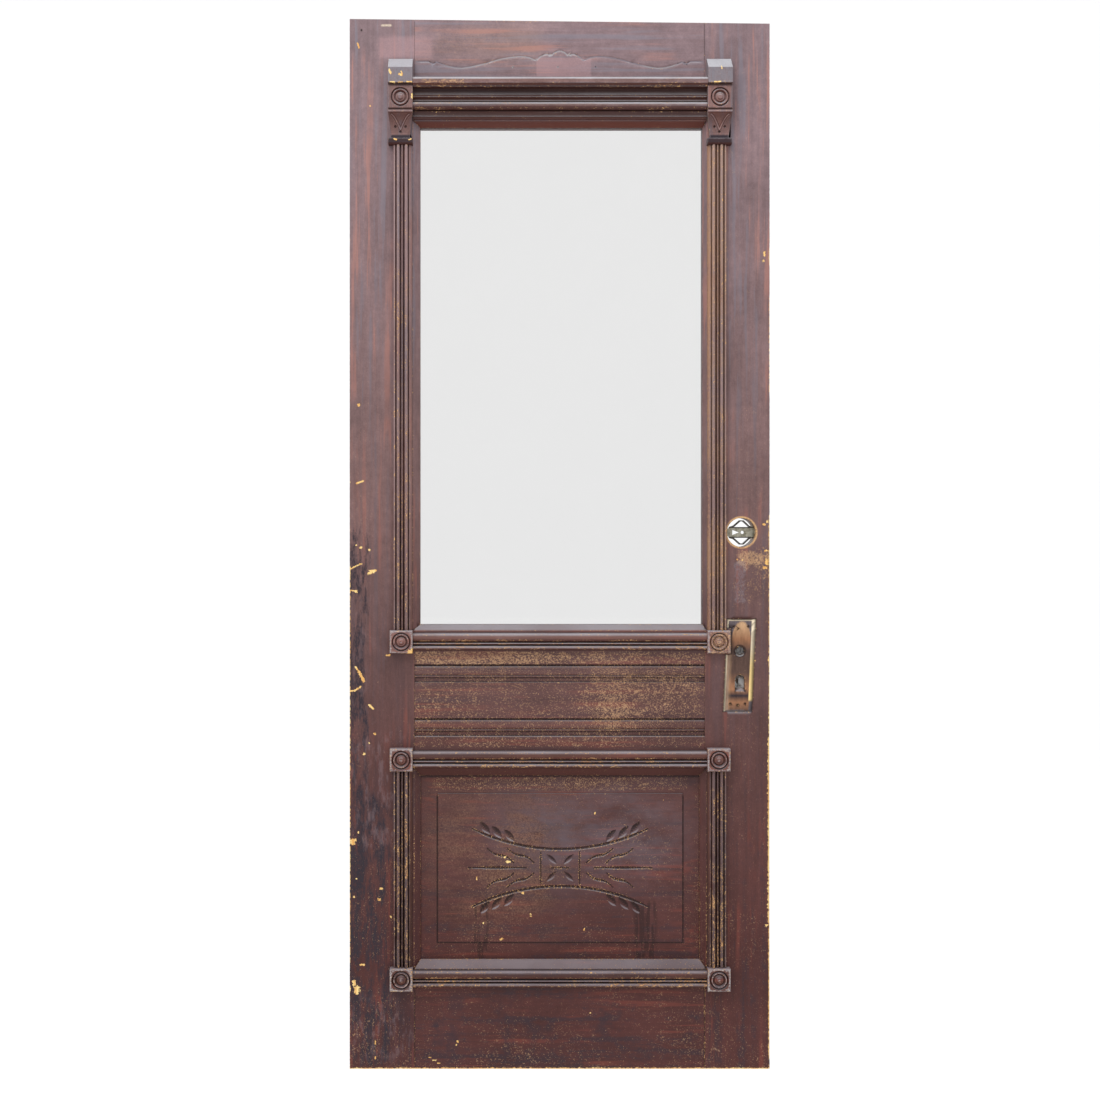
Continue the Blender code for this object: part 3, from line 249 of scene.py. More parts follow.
# What sets the coats of the frame and of the planted trim apart: their paints, how far specks are drawn out along
# the grain, which downward slopes take painted shade, how much grime and painted shade the hollows take at foot and
# head, how patchy worn edges are and how much is rubbed
FRAME_COAT = {"paints": "varnish_", "drawn": 0.80, "under": (-0.80, -0.12), "grime_and_shade": (0.90, 0.66), "patchy": 0.6,
              "rubbed": (0.0, -0.22)}
TRIM_COAT = {"paints": "trim_", "drawn": 0.55, "under": (-0.62, -0.05), "grime_and_shade": (0.80, 0.50), "patchy": 1.6,
             "rubbed": (-0.10, -0.27)}


def aged_varnish(name, grain, trim=False, rubbed=(), marks=None, lit=(0.12, 0.80)):
    """Old dark varnish on softwood. The grain runs upright or level, and planted trim is more worn.
    rubbed lists speckled places as (left, top, right, foot, softness, amount), the first four in pixels of the
    photograph. marks(surface, colour, fleck, drift) lays local stains, painted light and painted shade over the coat.
    lit is how far a slope has to face upwards before it takes the painted light from above."""
    finish = settings()
    coat = TRIM_COAT if trim else FRAME_COAT
    s = Surface(name, Specular_IOR_Level=0.2)
    fibres, drawn = (s.stretched((1.0, 1.0, length) if grain == "upright" else (length, 1.0, 1.0))
                     for length in (FIBRE_STRETCH, coat["drawn"]))
    cloud, mottle, fleck = (s.noise(drawn, *pattern) for pattern in (CLOUD, MOTTLE, FLECK))
    grains, streaks, tar = (s.noise(fibres, *pattern) for pattern in (GRAINS, STREAKS, TAR))
    drift = s.noise(s.place, *DRIFT)

    height = s.share(s.z, CORNER.z, CORNER.z + DOOR_HEIGHT)
    # Colour by height: darker red at the foot, lighter and greyer high up as painted glare.
    paints = [getattr(finish, coat["paints"] + level) for level in ("foot", "low", "middle", "high")]
    colour = s.ramp(height, tuple(zip(COAT_HEIGHTS, paints)))
    for pattern, low, contrast in ((cloud, 0.32, 0.16), (grains, 0.34, 0.12), (fleck, 0.30, 0.12),
                                   (mottle, 0.34, 0.09)):
        colour = s.toned(colour, pattern, low, 1 - low, 1 - contrast, 1 + contrast)

    rust = s.ramp(height, ((0.25, finish.rust_low), (0.8, finish.rust_high)))
    colour = s.over(s.times(s.step(streaks, 0.53, 0.64), s.step(drift, 0.36, 0.58), 0.55), colour, rust)
    # Grey-blue clouding over the streaks, stronger high up: clouded varnish and painted glare from above.
    haze_and_glare = s.times(s.step(streaks, 0.36, 0.47, 1.0, 0.0), s.step(height, 0.15, 0.9, 0.15, 0.5))
    colour = s.over(haze_and_glare, colour, s.ramp(height, ((0.2, finish.haze_and_glare_low), (0.85, finish.haze_and_glare))))
    tarry = s.times(s.step(s.plus(tar, s.swing(mottle, 0.5)), 0.50, 0.66), s.share(height, 0.0, 0.55, 0.62, 0.0))
    colour = s.over(tarry, colour, finish.black_varnish)
    if marks:
        colour = marks(s, colour, fleck, drift)

    worn, sunk = s.attribute("worn"), s.attribute("sunk")
    facing = s.nodes.new("ShaderNodeSeparateXYZ")
    s.links.new(s.nodes.new("ShaderNodeNewGeometry").outputs["Normal"], facing.inputs[0])
    upward = facing.outputs[2]
    # Colours of the painted light from above on upward-facing slopes, lighter on the trim.
    tops = s.ramp(height, ((0.1, finish.top_light_low), (0.9, finish.top_light)))
    if trim:
        tops = s.toned(tops, fleck, 0.3, 0.7, 1.05, 1.30)
        # Painted sheen on the crowns of the trim, where the worn layer is high.
        crown = s.times(s.step(s.plus(worn, s.swing(cloud, 0.8), s.swing(mottle, 0.8)), 0.62, 1.02), 0.40)
        colour = s.over(crown, colour, s.ramp(height, ((0.1, finish.sheen_low), (0.9, finish.sheen))))
    # Painted shade on downward-facing slopes.
    colour = s.over(s.step(upward, *coat["under"], 0.82, 0.0), colour, finish.underside_shade)
    # Upward-facing slopes get painted light from above.
    top_light = s.times(s.step(upward, *lit), s.step(cloud, 0.3, 0.6, 0.60, 0.88))
    colour = s.over(top_light, colour, tops)
    # Grime and painted shade in the hollows and inward folds that the sunk layer marks, stronger low down.
    grime_and_shade = s.times(s.step(s.plus(sunk, s.swing(grains, 0.5)), 0.1, 0.95), s.share(height, 0.1, 0.9, *coat["grime_and_shade"]))
    colour = s.over(grime_and_shade, colour, s.ramp(height, ((0.3, finish.soot_and_shade), (0.9, finish.soot_and_shade_high))))

    area = s.share(height, 0.0, 0.5, 0.42, 0.10)
    for *place, amount in rubbed:
        area = s.most(area, s.times(s.seen(*place), amount))
    level = s.share(s.plus(area, s.swing(drift, 0.7), s.swing(mottle, 0.9)), 0.0, 1.0, 0.72, 0.46)
    speckle = s.step(s.maths("SUBTRACT", fleck, level), 0.0, 0.06)
    tan = s.over(s.step(grains, 0.35, 0.65), finish.worn_dark, finish.worn_light)
    colour = s.over(s.times(speckle, 0.8), colour, tan)

    reach = s.plus(worn, s.swing(fleck, 2.6), s.swing(mottle, coat["patchy"]), s.swing(drift, 0.6),
                   s.share(height, 0.1, 0.95, *coat["rubbed"]))
    arris = s.times(s.step(reach, 1.04, 1.20), finish.edge_wear)
    colour = s.over(arris, colour, s.over(s.step(fleck, 0.5, 0.68), finish.gilt_dark, finish.gilt_light))
    ragged = s.plus(s.attribute("bare"), s.swing(s.noise(s.place, 300.0, 3.0, 0.65), 1.5))
    chipped = s.step(ragged, 0.52, 0.60)
    colour = s.over(chipped, colour, s.over(s.step(grains, 0.4, 0.6), finish.bare_dark, finish.bare_light))

    raised = s.most(speckle, arris, chipped)
    roughness = s.plus(s.step(grains, 0.3, 0.7, 0.40, 0.55), s.times(raised, 0.25))
    relief = s.plus(s.times(grains, 0.35), s.times(fleck, 0.35), s.times(raised, -0.45))
    return s.finish(colour, roughness, relief, 0.0006)


# Local stains. All rectangles are in the photograph's pixels: left, top, right, foot and softness


def pink_squares(s, colour, fleck, drift, squares):
    """Squares of a lighter coat, thin in places."""
    thin = s.step(s.plus(drift, s.swing(fleck, 0.5)), 0.3, 0.6, 0.30, 0.52)
    return s.over(s.times(squares, thin), colour, settings().pink_patch)


def joint_shade(s, colour, left, right, top, foot, width, amount):
    """The dark lines where a rail meets both stiles."""
    lines = s.most(*(s.seen(px, top, px + width, foot, 0.4) for px in (left, right)))
    return s.over(s.times(lines, amount), colour, settings().soot_and_shade)


def crazed_varnish(s, colour, fleck, drift):
    """Thick blue-black varnish, crazed into patches along the hinge edge, and a square of lighter coat on top."""
    finish = settings()
    thick = s.noise(s.stretched((1.0, 1.0, 0.22)), 58.0, 6.0, 0.75)
    beside = s.most(s.seen(330, 520, 371, 1045, 14), s.times(s.seen(330, 790, 398, 1075, 20), 0.88),
                    s.times(s.seen(330, 60, 362, 600, 14), 0.35))
    level = s.share(beside, 0.0, 1.0, 0.79, 0.39)
    patches = s.step(s.maths("SUBTRACT", thick, level), 0.0, 0.13)
    cracks = s.step(s.noise(s.stretched((1.0, 1.0, 0.4)), 360.0, 4.0, 0.8), 0.38, 0.56)
    colour = s.over(s.times(patches, s.plus(s.times(cracks, 0.62), 0.32)), colour, finish.black_varnish)
    soaked = s.times(s.seen(345, 780, 412, 1060, 24), s.step(thick, 0.40, 0.62), 0.45)
    colour = s.over(soaked, colour, finish.black_varnish)
    brushed = s.noise(s.stretched((1.0, 1.0, 0.30)), 78.0, 6.0, 0.75)
    clouds = s.most(s.seen(352, 735, 408, 850, 16), s.seen(352, 1000, 410, 1060, 16),
                    s.times(s.seen(340, 560, 372, 735, 14), 0.6))
    colour = s.over(s.times(clouds, s.step(brushed, 0.50, 0.64), 0.40), colour, finish.varnish_high)
    lens = s.times(s.seen(381, 24.9, 391, 26.1, 1.2), s.step(fleck, 0.36, 0.54, 0.3, 0.95))
    colour = s.over(lens, colour, finish.cream)
    colour = s.over(s.times(s.seen(360.2, 29.2, 362.0, 31.4, 0.5), 0.9), colour, finish.soot_and_shade)
    return pink_squares(s, colour, fleck, drift, s.seen(378, 37, 432, 58, 3.0))


def head_shade(s, colour, fleck, drift):
    """The head moulding is darker than the reeds below it, with painted shade in its hollows and a painted shadow over
    its torus and the hollow beneath.
    """
    colour = s.toned(colour, fleck, 0.3, 0.7, 0.58, 0.74)
    colour = s.toned(colour, s.attribute("sunk"), 0.2, 0.9, 1.0, 0.44)
    # Painted shadow over the torus and the hollow under it.
    return s.over(s.times(s.seen(400, 99, 700, 121, 2.0), 0.20), colour, settings().soot_and_shade)


def reed_wash(s, colour, fleck, drift):
    """The reeds beside the lock are rubbed to a tan, most near the sill."""
    finish = settings()
    wash = s.most(s.times(s.seen(698, 140, 734, 640, 3.0), 0.80), s.times(s.seen(698, 470, 734, 640, 30.0), 0.95))
    colour = s.over(s.times(wash, s.step(s.plus(drift, s.swing(fleck, 1.0)), 0.30, 0.56)), colour, finish.worn_dark)
    return s.over(s.times(wash, s.step(fleck, 0.58, 0.70), 0.6), colour, finish.worn_light)


def block_highlights(s, colour, fleck, drift):
    """The turned rings and rubbed corners of the corner blocks, paler than the reeds between them: wear together with
    painted highlights, strongest on the lower blocks.
    """
    finish = settings()
    # The blocks are lightened as a whole, standing for their glossy highlights.
    colour = s.toned(colour, fleck, 0.3, 0.7, 1.30, 1.70)
    rubbed_highlight = s.step(s.plus(s.attribute("worn"), s.swing(fleck, 1.6), s.swing(drift, 0.8)), 0.62, 1.10)
    rubbed_highlight = s.times(rubbed_highlight, s.share(s.z, CORNER.z + 0.15, CORNER.z + 0.65, 0.95, 0.70))
    # Painted highlight on the rings of the lowest block on the hinge side.
    bleached = s.times(s.seen(408, 950, 442, 990, 3.0), s.step(s.plus(fleck, s.attribute("worn")), 0.62, 0.95), 0.45)
    rubbed_highlight = s.most(rubbed_highlight, bleached)
    return s.over(rubbed_highlight, colour, s.over(s.step(fleck, 0.4, 0.6), finish.sheen, finish.pale_ring_highlight))


def console_shade(s, colour, fleck, drift):
    """Blue-grey caps, and black varnish on the foot of each bracket."""
    finish = settings()
    colour = s.toned(colour, fleck, 0.3, 0.7, 0.66, 0.84)
    caps = s.times(s.seen(340, 50, 760, 87, 0.8), s.step(fleck, 0.3, 0.6, 0.40, 0.75))
    colour = s.over(caps, colour, finish.cap_grey)
    feet = s.times(s.seen(340, 136.5, 760, 152, 1.0), 0.97)
    return s.over(feet, colour, finish.black_varnish)


def foot_stains(s, colour, fleck, drift):
    """Dark stains along the foot of the door."""
    low = s.times(s.seen(330, 995, 790, 1080, 25), s.step(s.noise(s.place, 16.0, 5.0, 0.7), 0.50, 0.66), 0.5)
    colour = s.over(low, colour, settings().black_varnish)
    return joint_shade(s, colour, 413.4, 703.6, 990, 1080, 1.4, 0.7)


def top_rail_patches(s, colour, fleck, drift):
    """Squares where a lighter coat shows beside the scratched line, painted shade on the splay over the glass and a
    painted highlight along the line.
    """
    finish = settings()
    squares = s.most(s.times(s.seen(536, 58, 590.7, 76.5, 0.9), 0.9), s.seen(378, 37, 432, 58, 3.0))
    colour = pink_squares(s, colour, fleck, drift, squares)
    warm = s.times(s.seen(425, 24, 540, 58, 16.0), s.step(s.plus(drift, s.swing(fleck, 1.0)), 0.40, 0.60), 0.20)
    colour = s.over(warm, colour, finish.worn_dark)
    # The splay over the glass faces down: painted shade, darker and redder.
    splay = s.times(s.seen(386, 121.5, 724, 133, 0.8), s.step(fleck, 0.3, 0.6, 0.5, 0.75))
    colour = s.over(splay, colour, finish.shaded_splay_red)
    # Painted highlight along the scratched line, whose lower side faces up.
    lit_scratch = s.step(s.attribute("scratched"), 0.45, 0.85, 0.0, 0.62)
    colour = s.over(lit_scratch, colour, s.over(s.step(drift, 0.42, 0.58), finish.haze_and_glare, finish.top_light))
    return joint_shade(s, colour, 413.2, 703.4, 15, 60, 1.2, 0.35)


def panel_stains(s, colour, fleck, drift):
    """Haze over the field, drips below the carved leaves and the shadowed edge of the margins."""
    finish = settings()
    cloudy = s.noise(s.stretched((0.45, 1.0, 1.0)), 26.0, 6.0, 0.7)
    grey = s.times(s.seen(500, 790, 680, 880, 45.0), s.step(cloudy, 0.30, 0.70))
    colour = s.over(s.times(grey, 0.30), colour, finish.haze_and_glare)
    warm = s.times(s.seen(440, 800, 560, 920, 45.0), s.step(cloudy, 0.66, 0.36), s.step(fleck, 0.36, 0.60))
    colour = s.over(s.times(warm, 0.34), colour, finish.worn_dark)
    runs = s.noise(s.stretched((1.0, 1.0, 0.08)), 170.0, 3.0)
    drips = s.most(s.seen(473, 903, 488, 960, 3.0), s.seen(634, 903, 656, 960, 3.0))
    colour = s.over(s.times(drips, s.step(runs, 0.44, 0.56), 0.55), colour, finish.soot_and_shade)
    shade = s.most(s.seen(414, 776, 419, 960, 1.5), s.seen(414, 776, 704, 778.5, 1.0), s.seen(700, 776, 704, 960, 1.0))
    return s.over(s.times(shade, 0.7), colour, finish.soot_and_shade)


# The lost plate's print on its bed: where its round head starts, the head's height, its middle and half width
PRINT_SHOULDER, PRINT_HEAD, PRINT_MIDDLE, PRINT_HALF = 0.130, 0.046, 0.0292, 0.0205
BORE_RUB = (0.0305, 0.0325)


def lock_marks(s, colour, fleck, drift):
    """Rubbed wood round the bore, and the print of the lost lock plate on its bed."""
    finish = settings()
    away = s.plus(s.apart(BORE_U, BORE_V), s.swing(fleck, 0.006))
    ring = s.step(away, *BORE_RUB, 1.0, 0.0)
    colour = s.over(s.times(ring, 0.85), colour, s.over(s.step(fleck, 0.4, 0.6), finish.worn_dark, finish.gilt_light))
    torn = s.swing(s.noise(s.place, 60.0, 4.0, 0.7), 2.4)
    splash = s.step(s.plus(s.seen(738, 552, 764, 568, 9.0), torn), 0.35, 0.75)
    colour = s.over(s.times(splash, s.step(fleck, 0.38, 0.54), 0.75), colour,
                    s.over(s.step(drift, 0.4, 0.6), finish.worn_dark, finish.worn_light))
    stain = s.step(s.plus(s.seen(733, 560, 746, 604, 5.0), torn), 0.45, 0.9)
    colour = s.over(s.times(stain, s.step(fleck, 0.36, 0.56), 0.42), colour, finish.haze_and_glare)

    up = s.plus(s.z, -CORNER.z - BED_FOOT)
    across = s.plus(s.x, -CORNER.x - BED_LEFT, s.times(up, -BED_LEAN / BED_HEIGHT))
    soft = 0.0003
    inside = s.times(s.step(s.y, CORNER.y + BED_DEPTH * 0.5, CORNER.y + BED_DEPTH * 0.8), s.front,
                     s.within(across, -soft, BED_WIDTH + soft, soft), s.within(up, -soft, BED_HEIGHT + soft, soft))
    t = s.share(up, 0.0, BED_HEIGHT)
    stained = s.ramp(t, ((0.0, finish.print_dark), (0.10, finish.print_tan), (0.17, finish.black_varnish),
                         (0.24, finish.print_tan), (0.42, finish.print_dark), (0.66, finish.print_dark),
                         (0.78, finish.print_tan), (0.93, finish.worn_light)))
    lift = s.times(s.most(s.plus(up, -PRINT_SHOULDER), 0.0), 1 / PRINT_HEAD)
    side = s.times(s.plus(across, -PRINT_MIDDLE), 1 / PRINT_HALF)
    shape = s.plus(s.maths("SQRT", s.plus(s.times(side, side), s.times(lift, lift))), s.swing(drift, 0.3),
                   s.swing(fleck, 0.15))
    bed = s.over(s.step(shape, 0.92, 1.04), stained, finish.bed_grey)
    rubbed_side = s.times(s.step(across, 0.004, 0.016, 1.0, 0.0), s.step(t, 0.60, 0.70, 1.0, 0.0))
    bed = s.over(s.times(rubbed_side, 0.6), bed, finish.worn_light)
    bed = s.toned(bed, s.noise(s.stretched((1.0, 1.0, 0.3)), 120.0, 4.0, 0.65), 0.34, 0.66, 0.70, 1.10)
    rim = s.most(s.step(across, 0.0030, 0.0050, 1.0, 0.0), s.step(up, BED_HEIGHT - 0.0050, BED_HEIGHT - 0.0034))
    bed = s.over(s.times(rim, s.step(fleck, 0.34, 0.5, 0.65, 1.0)), bed, finish.cream)
    bright = s.step(across, BED_WIDTH - 0.0090, BED_WIDTH - 0.0068)
    bright = s.times(bright, s.step(t, 0.10, 0.14), s.step(fleck, 0.34, 0.48, 0.8, 1.0))
    bed = s.over(bright, bed, s.over(s.step(t, 0.45, 0.75), finish.bare_light, finish.cream))
    # Darkened round the spindle, with a crescent of painted light on its lower part.
    ring = s.step(s.apart(SPINDLE_U, SPINDLE_V), 0.0105, 0.0140, 0.8, 0.0)
    bed = s.over(ring, bed, finish.soot_and_shade)
    crescent = s.times(s.step(s.apart(SPINDLE_U, SPINDLE_V - 0.0012), 0.0093, 0.0103, 1.0, 0.0),
                       s.step(s.z, CORNER.z + SPINDLE_V - 0.008, CORNER.z + SPINDLE_V - 0.005, 1.0, 0.0))
    bed = s.over(s.times(crescent, 0.6), bed, finish.top_light)
    return s.over(inside, colour, bed)


def painted_steel(name, colour, rust, roughness, dark_beyond=None):
    """Dull metal with stains and fine scratches. Beyond a half height from the bore's middle it is darkened."""
    s = Surface(name, Metallic=0.45, Specular_IOR_Level=0.4)
    stain = s.step(s.noise(s.place, 110.0, 5.0, 0.65), 0.42, 0.66)
    marks = s.noise(s.stretched((1.0, 1.0, 0.12)), 420.0, 4.0, 0.7)
    shade = s.toned(s.over(stain, colour, rust), marks, 0.3, 0.7, 0.75, 1.2)
    if dark_beyond:
        off = s.maths("ABSOLUTE", s.plus(s.z, -CORNER.z - BORE_V))
        shade = s.over(s.step(off, dark_beyond, dark_beyond + 0.0012, 0.0, 0.85), shade, settings().soot_and_shade)
    return s.finish(shade, s.step(marks, 0.3, 0.7, roughness - 0.1, roughness + 0.15), marks, 0.0002, 0.0004)


def clear_glass(name):
    s = Surface(name, Transmission_Weight=1.0, IOR=1.45, Roughness=0.0)
    s.shader.inputs["Base Color"].default_value = (*settings().glass_tint, 1.0)
    return s.material


def piece(name, bm, material, slot, *solids, smooth_angle=35.0):
    """Turns a bmesh into a finished piece that stands for CAD solids."""
    bmesh.ops.recalc_face_normals(bm, faces=bm.faces)
    mesh = bpy.data.meshes.new(name)
    bm.to_mesh(mesh)
    bm.free()
    mesh.shade_smooth()
    mesh.set_sharp_from_angle(angle=math.radians(smooth_angle))
    made = bpy.data.objects.new(name, mesh)
    bpy.context.scene.collection.objects.link(made)
    mesh.materials.append(material)
    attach(made, "root")
    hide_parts(*solids)
    return made


def repaint(name, material):
    """Gives a carried-over CAD solid its finish."""
    solid = SOLIDS[name]
    if not solid.material_slots:
        raise RuntimeError("no material slot on " + name)
    for slot in solid.material_slots:
        slot.link = "OBJECT"
        slot.material = material


WELD = 1e-6
FLAT = math.radians(0.4)
SHARP = math.radians(24)


def layers(bm, *names):
    """Layers of numbers on the vertices, which the materials read as attributes."""
    return [bm.verts.layers.float.new(name) for name in names]


def mapped_grid(columns, rows, set_point):
    """A grid of points, each put in its place by set_point(column, row), which gives a point, worn and sunk."""
    bm = bmesh.new()
    worn, sunk = layers(bm, "worn", "sunk")
    bmesh.ops.create_grid(bm, x_segments=columns, y_segments=rows, size=0.5)
    for vert in bm.verts:
        column = round((vert.co.x + 0.5) * columns)
        row = round((vert.co.y + 0.5) * rows)
        vert.co, vert[worn], vert[sunk] = set_point(column, row)
    return bm


def points_of(geometry):
    return [part for part in geometry if isinstance(part, bmesh.types.BMVert)]


def close_behind(bm, back):
    """Walls from the grid's outline straight back, and a flat back."""
    outline = [edge for edge in bm.edges if edge.is_boundary]
    walls = bmesh.ops.extrude_edge_only(bm, edges=outline)["geom"]
    for vert in points_of(walls):
        vert.co.y = back
    rim = [edge for edge in walls if isinstance(edge, bmesh.types.BMEdge) and edge.is_boundary]
    bmesh.ops.contextual_create(bm, geom=rim)


def shaped_line(points, spacing):
    """Points no further apart than spacing along a line of straight runs, with every corner kept."""
    line = [points[0]]
    for a, b in zip(points, points[1:]):
        count = max(1, math.ceil(math.dist(a, b) / spacing))
        line += [tuple(p + (q - p) * i / count for p, q in zip(a, b)) for i in range(1, count + 1)]
    return line


def softened(line):
    """The line with its corners eased, as layers of varnish ease them. The ends stay."""
    inner = [tuple((p + 2 * q + r) / 4 for p, q, r in zip(*three)) for three in zip(line, line[1:], line[2:])]
    return [line[0], *inner, line[-1]]


def standing(line, reach):
    """How far each point of a profile stands above its surroundings, in metres."""
    result = []
    for place, d in line:
        near = [height for other, height in line if abs(other - place) < reach]
        result.append(d - sum(near) / len(near))
    return result


# Mouldings, read across: shape, width, height at the start, height of the crown or end
UPRIGHT_REED = (
    ("flat", 0.0031, 0.0100, 0.0110), ("hollow", 0.0025, 0.0090, 0.0050), ("round", 0.0066, 0.0080, 0.0145),
    ("hollow", 0.0027, 0.0080, 0.0050), ("round", 0.0031, 0.0080, 0.0130), ("hollow", 0.0029, 0.0080, 0.0050),
    ("round", 0.0070, 0.0080, 0.0145), ("hollow", 0.0019, 0.0080, 0.0050), ("flat", 0.0062, 0.0100, 0.0030),
)
LEVEL_REED = (
    ("flat", 0.0010, 0.0070, 0.0090), ("round", 0.0155, 0.0090, 0.0150), ("hollow", 0.0025, 0.0080, 0.0045),
    ("round", 0.0035, 0.0080, 0.0130), ("hollow", 0.0025, 0.0080, 0.0045), ("round", 0.0080, 0.0080, 0.0145),
    ("flat", 0.0010, 0.0080, 0.0060),
)
HEAD_MEMBERS = (
    ("flat", 0.0040, 0.0080, 0.0100), ("hollow", 0.0100, 0.0125, 0.0105), ("flat", 0.0030, 0.0070, 0.0070),
    ("round", 0.0150, 0.0100, 0.0200), ("flat", 0.0020, 0.0100, 0.0100), ("hollow", 0.0060, 0.0120, 0.0095),
    ("round", 0.0032, 0.0110, 0.0142), ("round", 0.0033, 0.0110, 0.0142), ("cove", 0.0125, 0.0140, 0.0080),
    ("flat", 0.0030, 0.0220, 0.0220), ("flat", 0.0030, 0.0240, 0.0260), ("flat", 0.0080, 0.0280, 0.0280),
    ("flat", 0.0045, 0.0280, 0.0235),
)
# How much grime and painted shade each head member takes, from the foot up: most in its hollows and under the cap
HEAD_GRIME_AND_SHADE = (0.10, 0.90, 1.0, 0.20, 0.95, 0.60, 0.45, 0.55, 0.90, 1.0, 0.10, 0.10, 0.0)


ARC_STEPS = 10
PROFILE_STEP = 0.0009
MOULDING_STATION = 0.007
MOULDING_RELIEF = 0.0035


def moulding_line(members):
    """The front line of a row of moulding members, with fine arcs."""
    points = []
    reached = 0.0
    for shape, width, start, crown in members:
        if shape == "flat":
            points += [(reached, start), (reached + width, crown)]
        for i in range(ARC_STEPS + 1 if shape != "flat" else 0):
            if shape == "cove":
                turn = math.pi / 2 * i / ARC_STEPS
                points.append((reached + width * (1 - math.cos(turn)),
                               crown + (start - crown) * (1 - math.sin(turn))))
            else:
                turn = math.pi * i / ARC_STEPS
                points.append((reached + width * (1 - math.cos(turn)) / 2,
                               start + (crown - start) * math.sin(turn)))
        reached += width
    kept = [points[0]]
    kept += [b for a, b in zip(points, points[1:]) if math.dist(a, b) > 1e-5]
    return softened(shaped_line(kept, PROFILE_STEP))


def member_grime_and_shade(members, grime_and_shade, across):
    """The grime and painted shade of the member at a place across the moulding."""
    reached = 0.0
    for (_, width, _, _), value in zip(members, grime_and_shade):
        reached += width
        if across < reached:
            return value
    return grime_and_shade[-1]


def strip(name, members, material, axis=0, hand=1, grime_and_shade=None):
    """A strip of moulding in a CAD solid's box. axis is the one that its profile runs along, from the box's low
    side, or from its high side where hand is -1."""
    low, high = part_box(name)
    other = 2 - axis
    start, end = low[other], high[other]
    line = moulding_line(members)
    proud = standing(line, MOULDING_RELIEF)
    grime_and_shade_across = [member_grime_and_shade(members, grime_and_shade, across) if grime_and_shade else 0.0 for across, _ in line]
    stations = max(2, round((end - start) / MOULDING_STATION))
    nick_depth = settings().nick_depth

    def set_point(column, row):
        across, d = line[column]
        along = start + (end - start) * row / stations
        worn = held(0.5 + proud[column] / MOULDING_RELIEF, 0.0, 1.0)
        # Hollows of the profile and the listed members take grime and painted shade.
        sunk = max(held(-proud[column] / 0.003, 0.0, 1.0), grime_and_shade_across[column])
        nick = noise.noise(Vector((across * 260, along * 70, start * 9)))
        d -= nick_depth * max(0.0, nick - 0.25) * worn
        point = Vector((along, CORNER.y - d, along))
        point[axis] = low[axis] + across if hand > 0 else high[axis] - across
        return point, worn, sunk

    bm = mapped_grid(len(line) - 1, stations, set_point)
    close_behind(bm, high.y)
    return piece("moulded_" + name, bm, material, "worn_moulding", name)


ROSETTE_RADIUS = 0.0183
ROSETTE_DEPTH = 0.0042
ROSETTE_LINE = ((0.0, -0.15), (0.14, -0.08), (0.24, 0.10), (0.32, 0.42), (0.42, 0.48), (0.50, 0.80), (0.57, 1.0),
                (0.63, 0.75), (0.68, 0.20), (0.73, 0.06), (0.81, 0.06), (0.86, 0.45), (0.91, 1.0), (0.96, 0.80),
                (1.0, 0.0))


def rosette_sunk(share):
    """How deep the turned rosette lies, as a share of its depth, at a share of its radius."""
    if share >= 1.0:
        return 0.0
    for (a, low), (b, high) in zip(ROSETTE_LINE, ROSETTE_LINE[1:]):
        if share <= b:
            t = (share - a) / (b - a)
            return low + (high - low) * t * t * (3 - 2 * t)
    return 0.0


# Two rings darkened by grime and painted shade in their grooves, and a painted shadow round the boss, as place, half
# width and strength
SHADED_RINGS = ((0.92, 0.11, 0.75), (0.57, 0.15, 0.75), (0.27, 0.08, 0.35))


def ring_grime_and_shade(share):
    """How much grime and painted shade the rosette takes at a share of its radius."""
    return max(strength * held(1.25 - abs(share - place) / half, 0.0, 1.0) for place, half, strength in SHADED_RINGS)


def ring_wear(share):
    """How rubbed the rosette is at a share of its radius: its boss and the band between the rings."""
    return max(held(1.0 - share / 0.40, 0.0, 1.0), held(0.95 - abs(share - 0.75) / 0.12, 0.0, 1.0))


BLOCK_SIDE = 0.044
BLOCK_CHAMFER = 0.0015
RING_STEPS = 64
ROSETTE_STEPS = 34


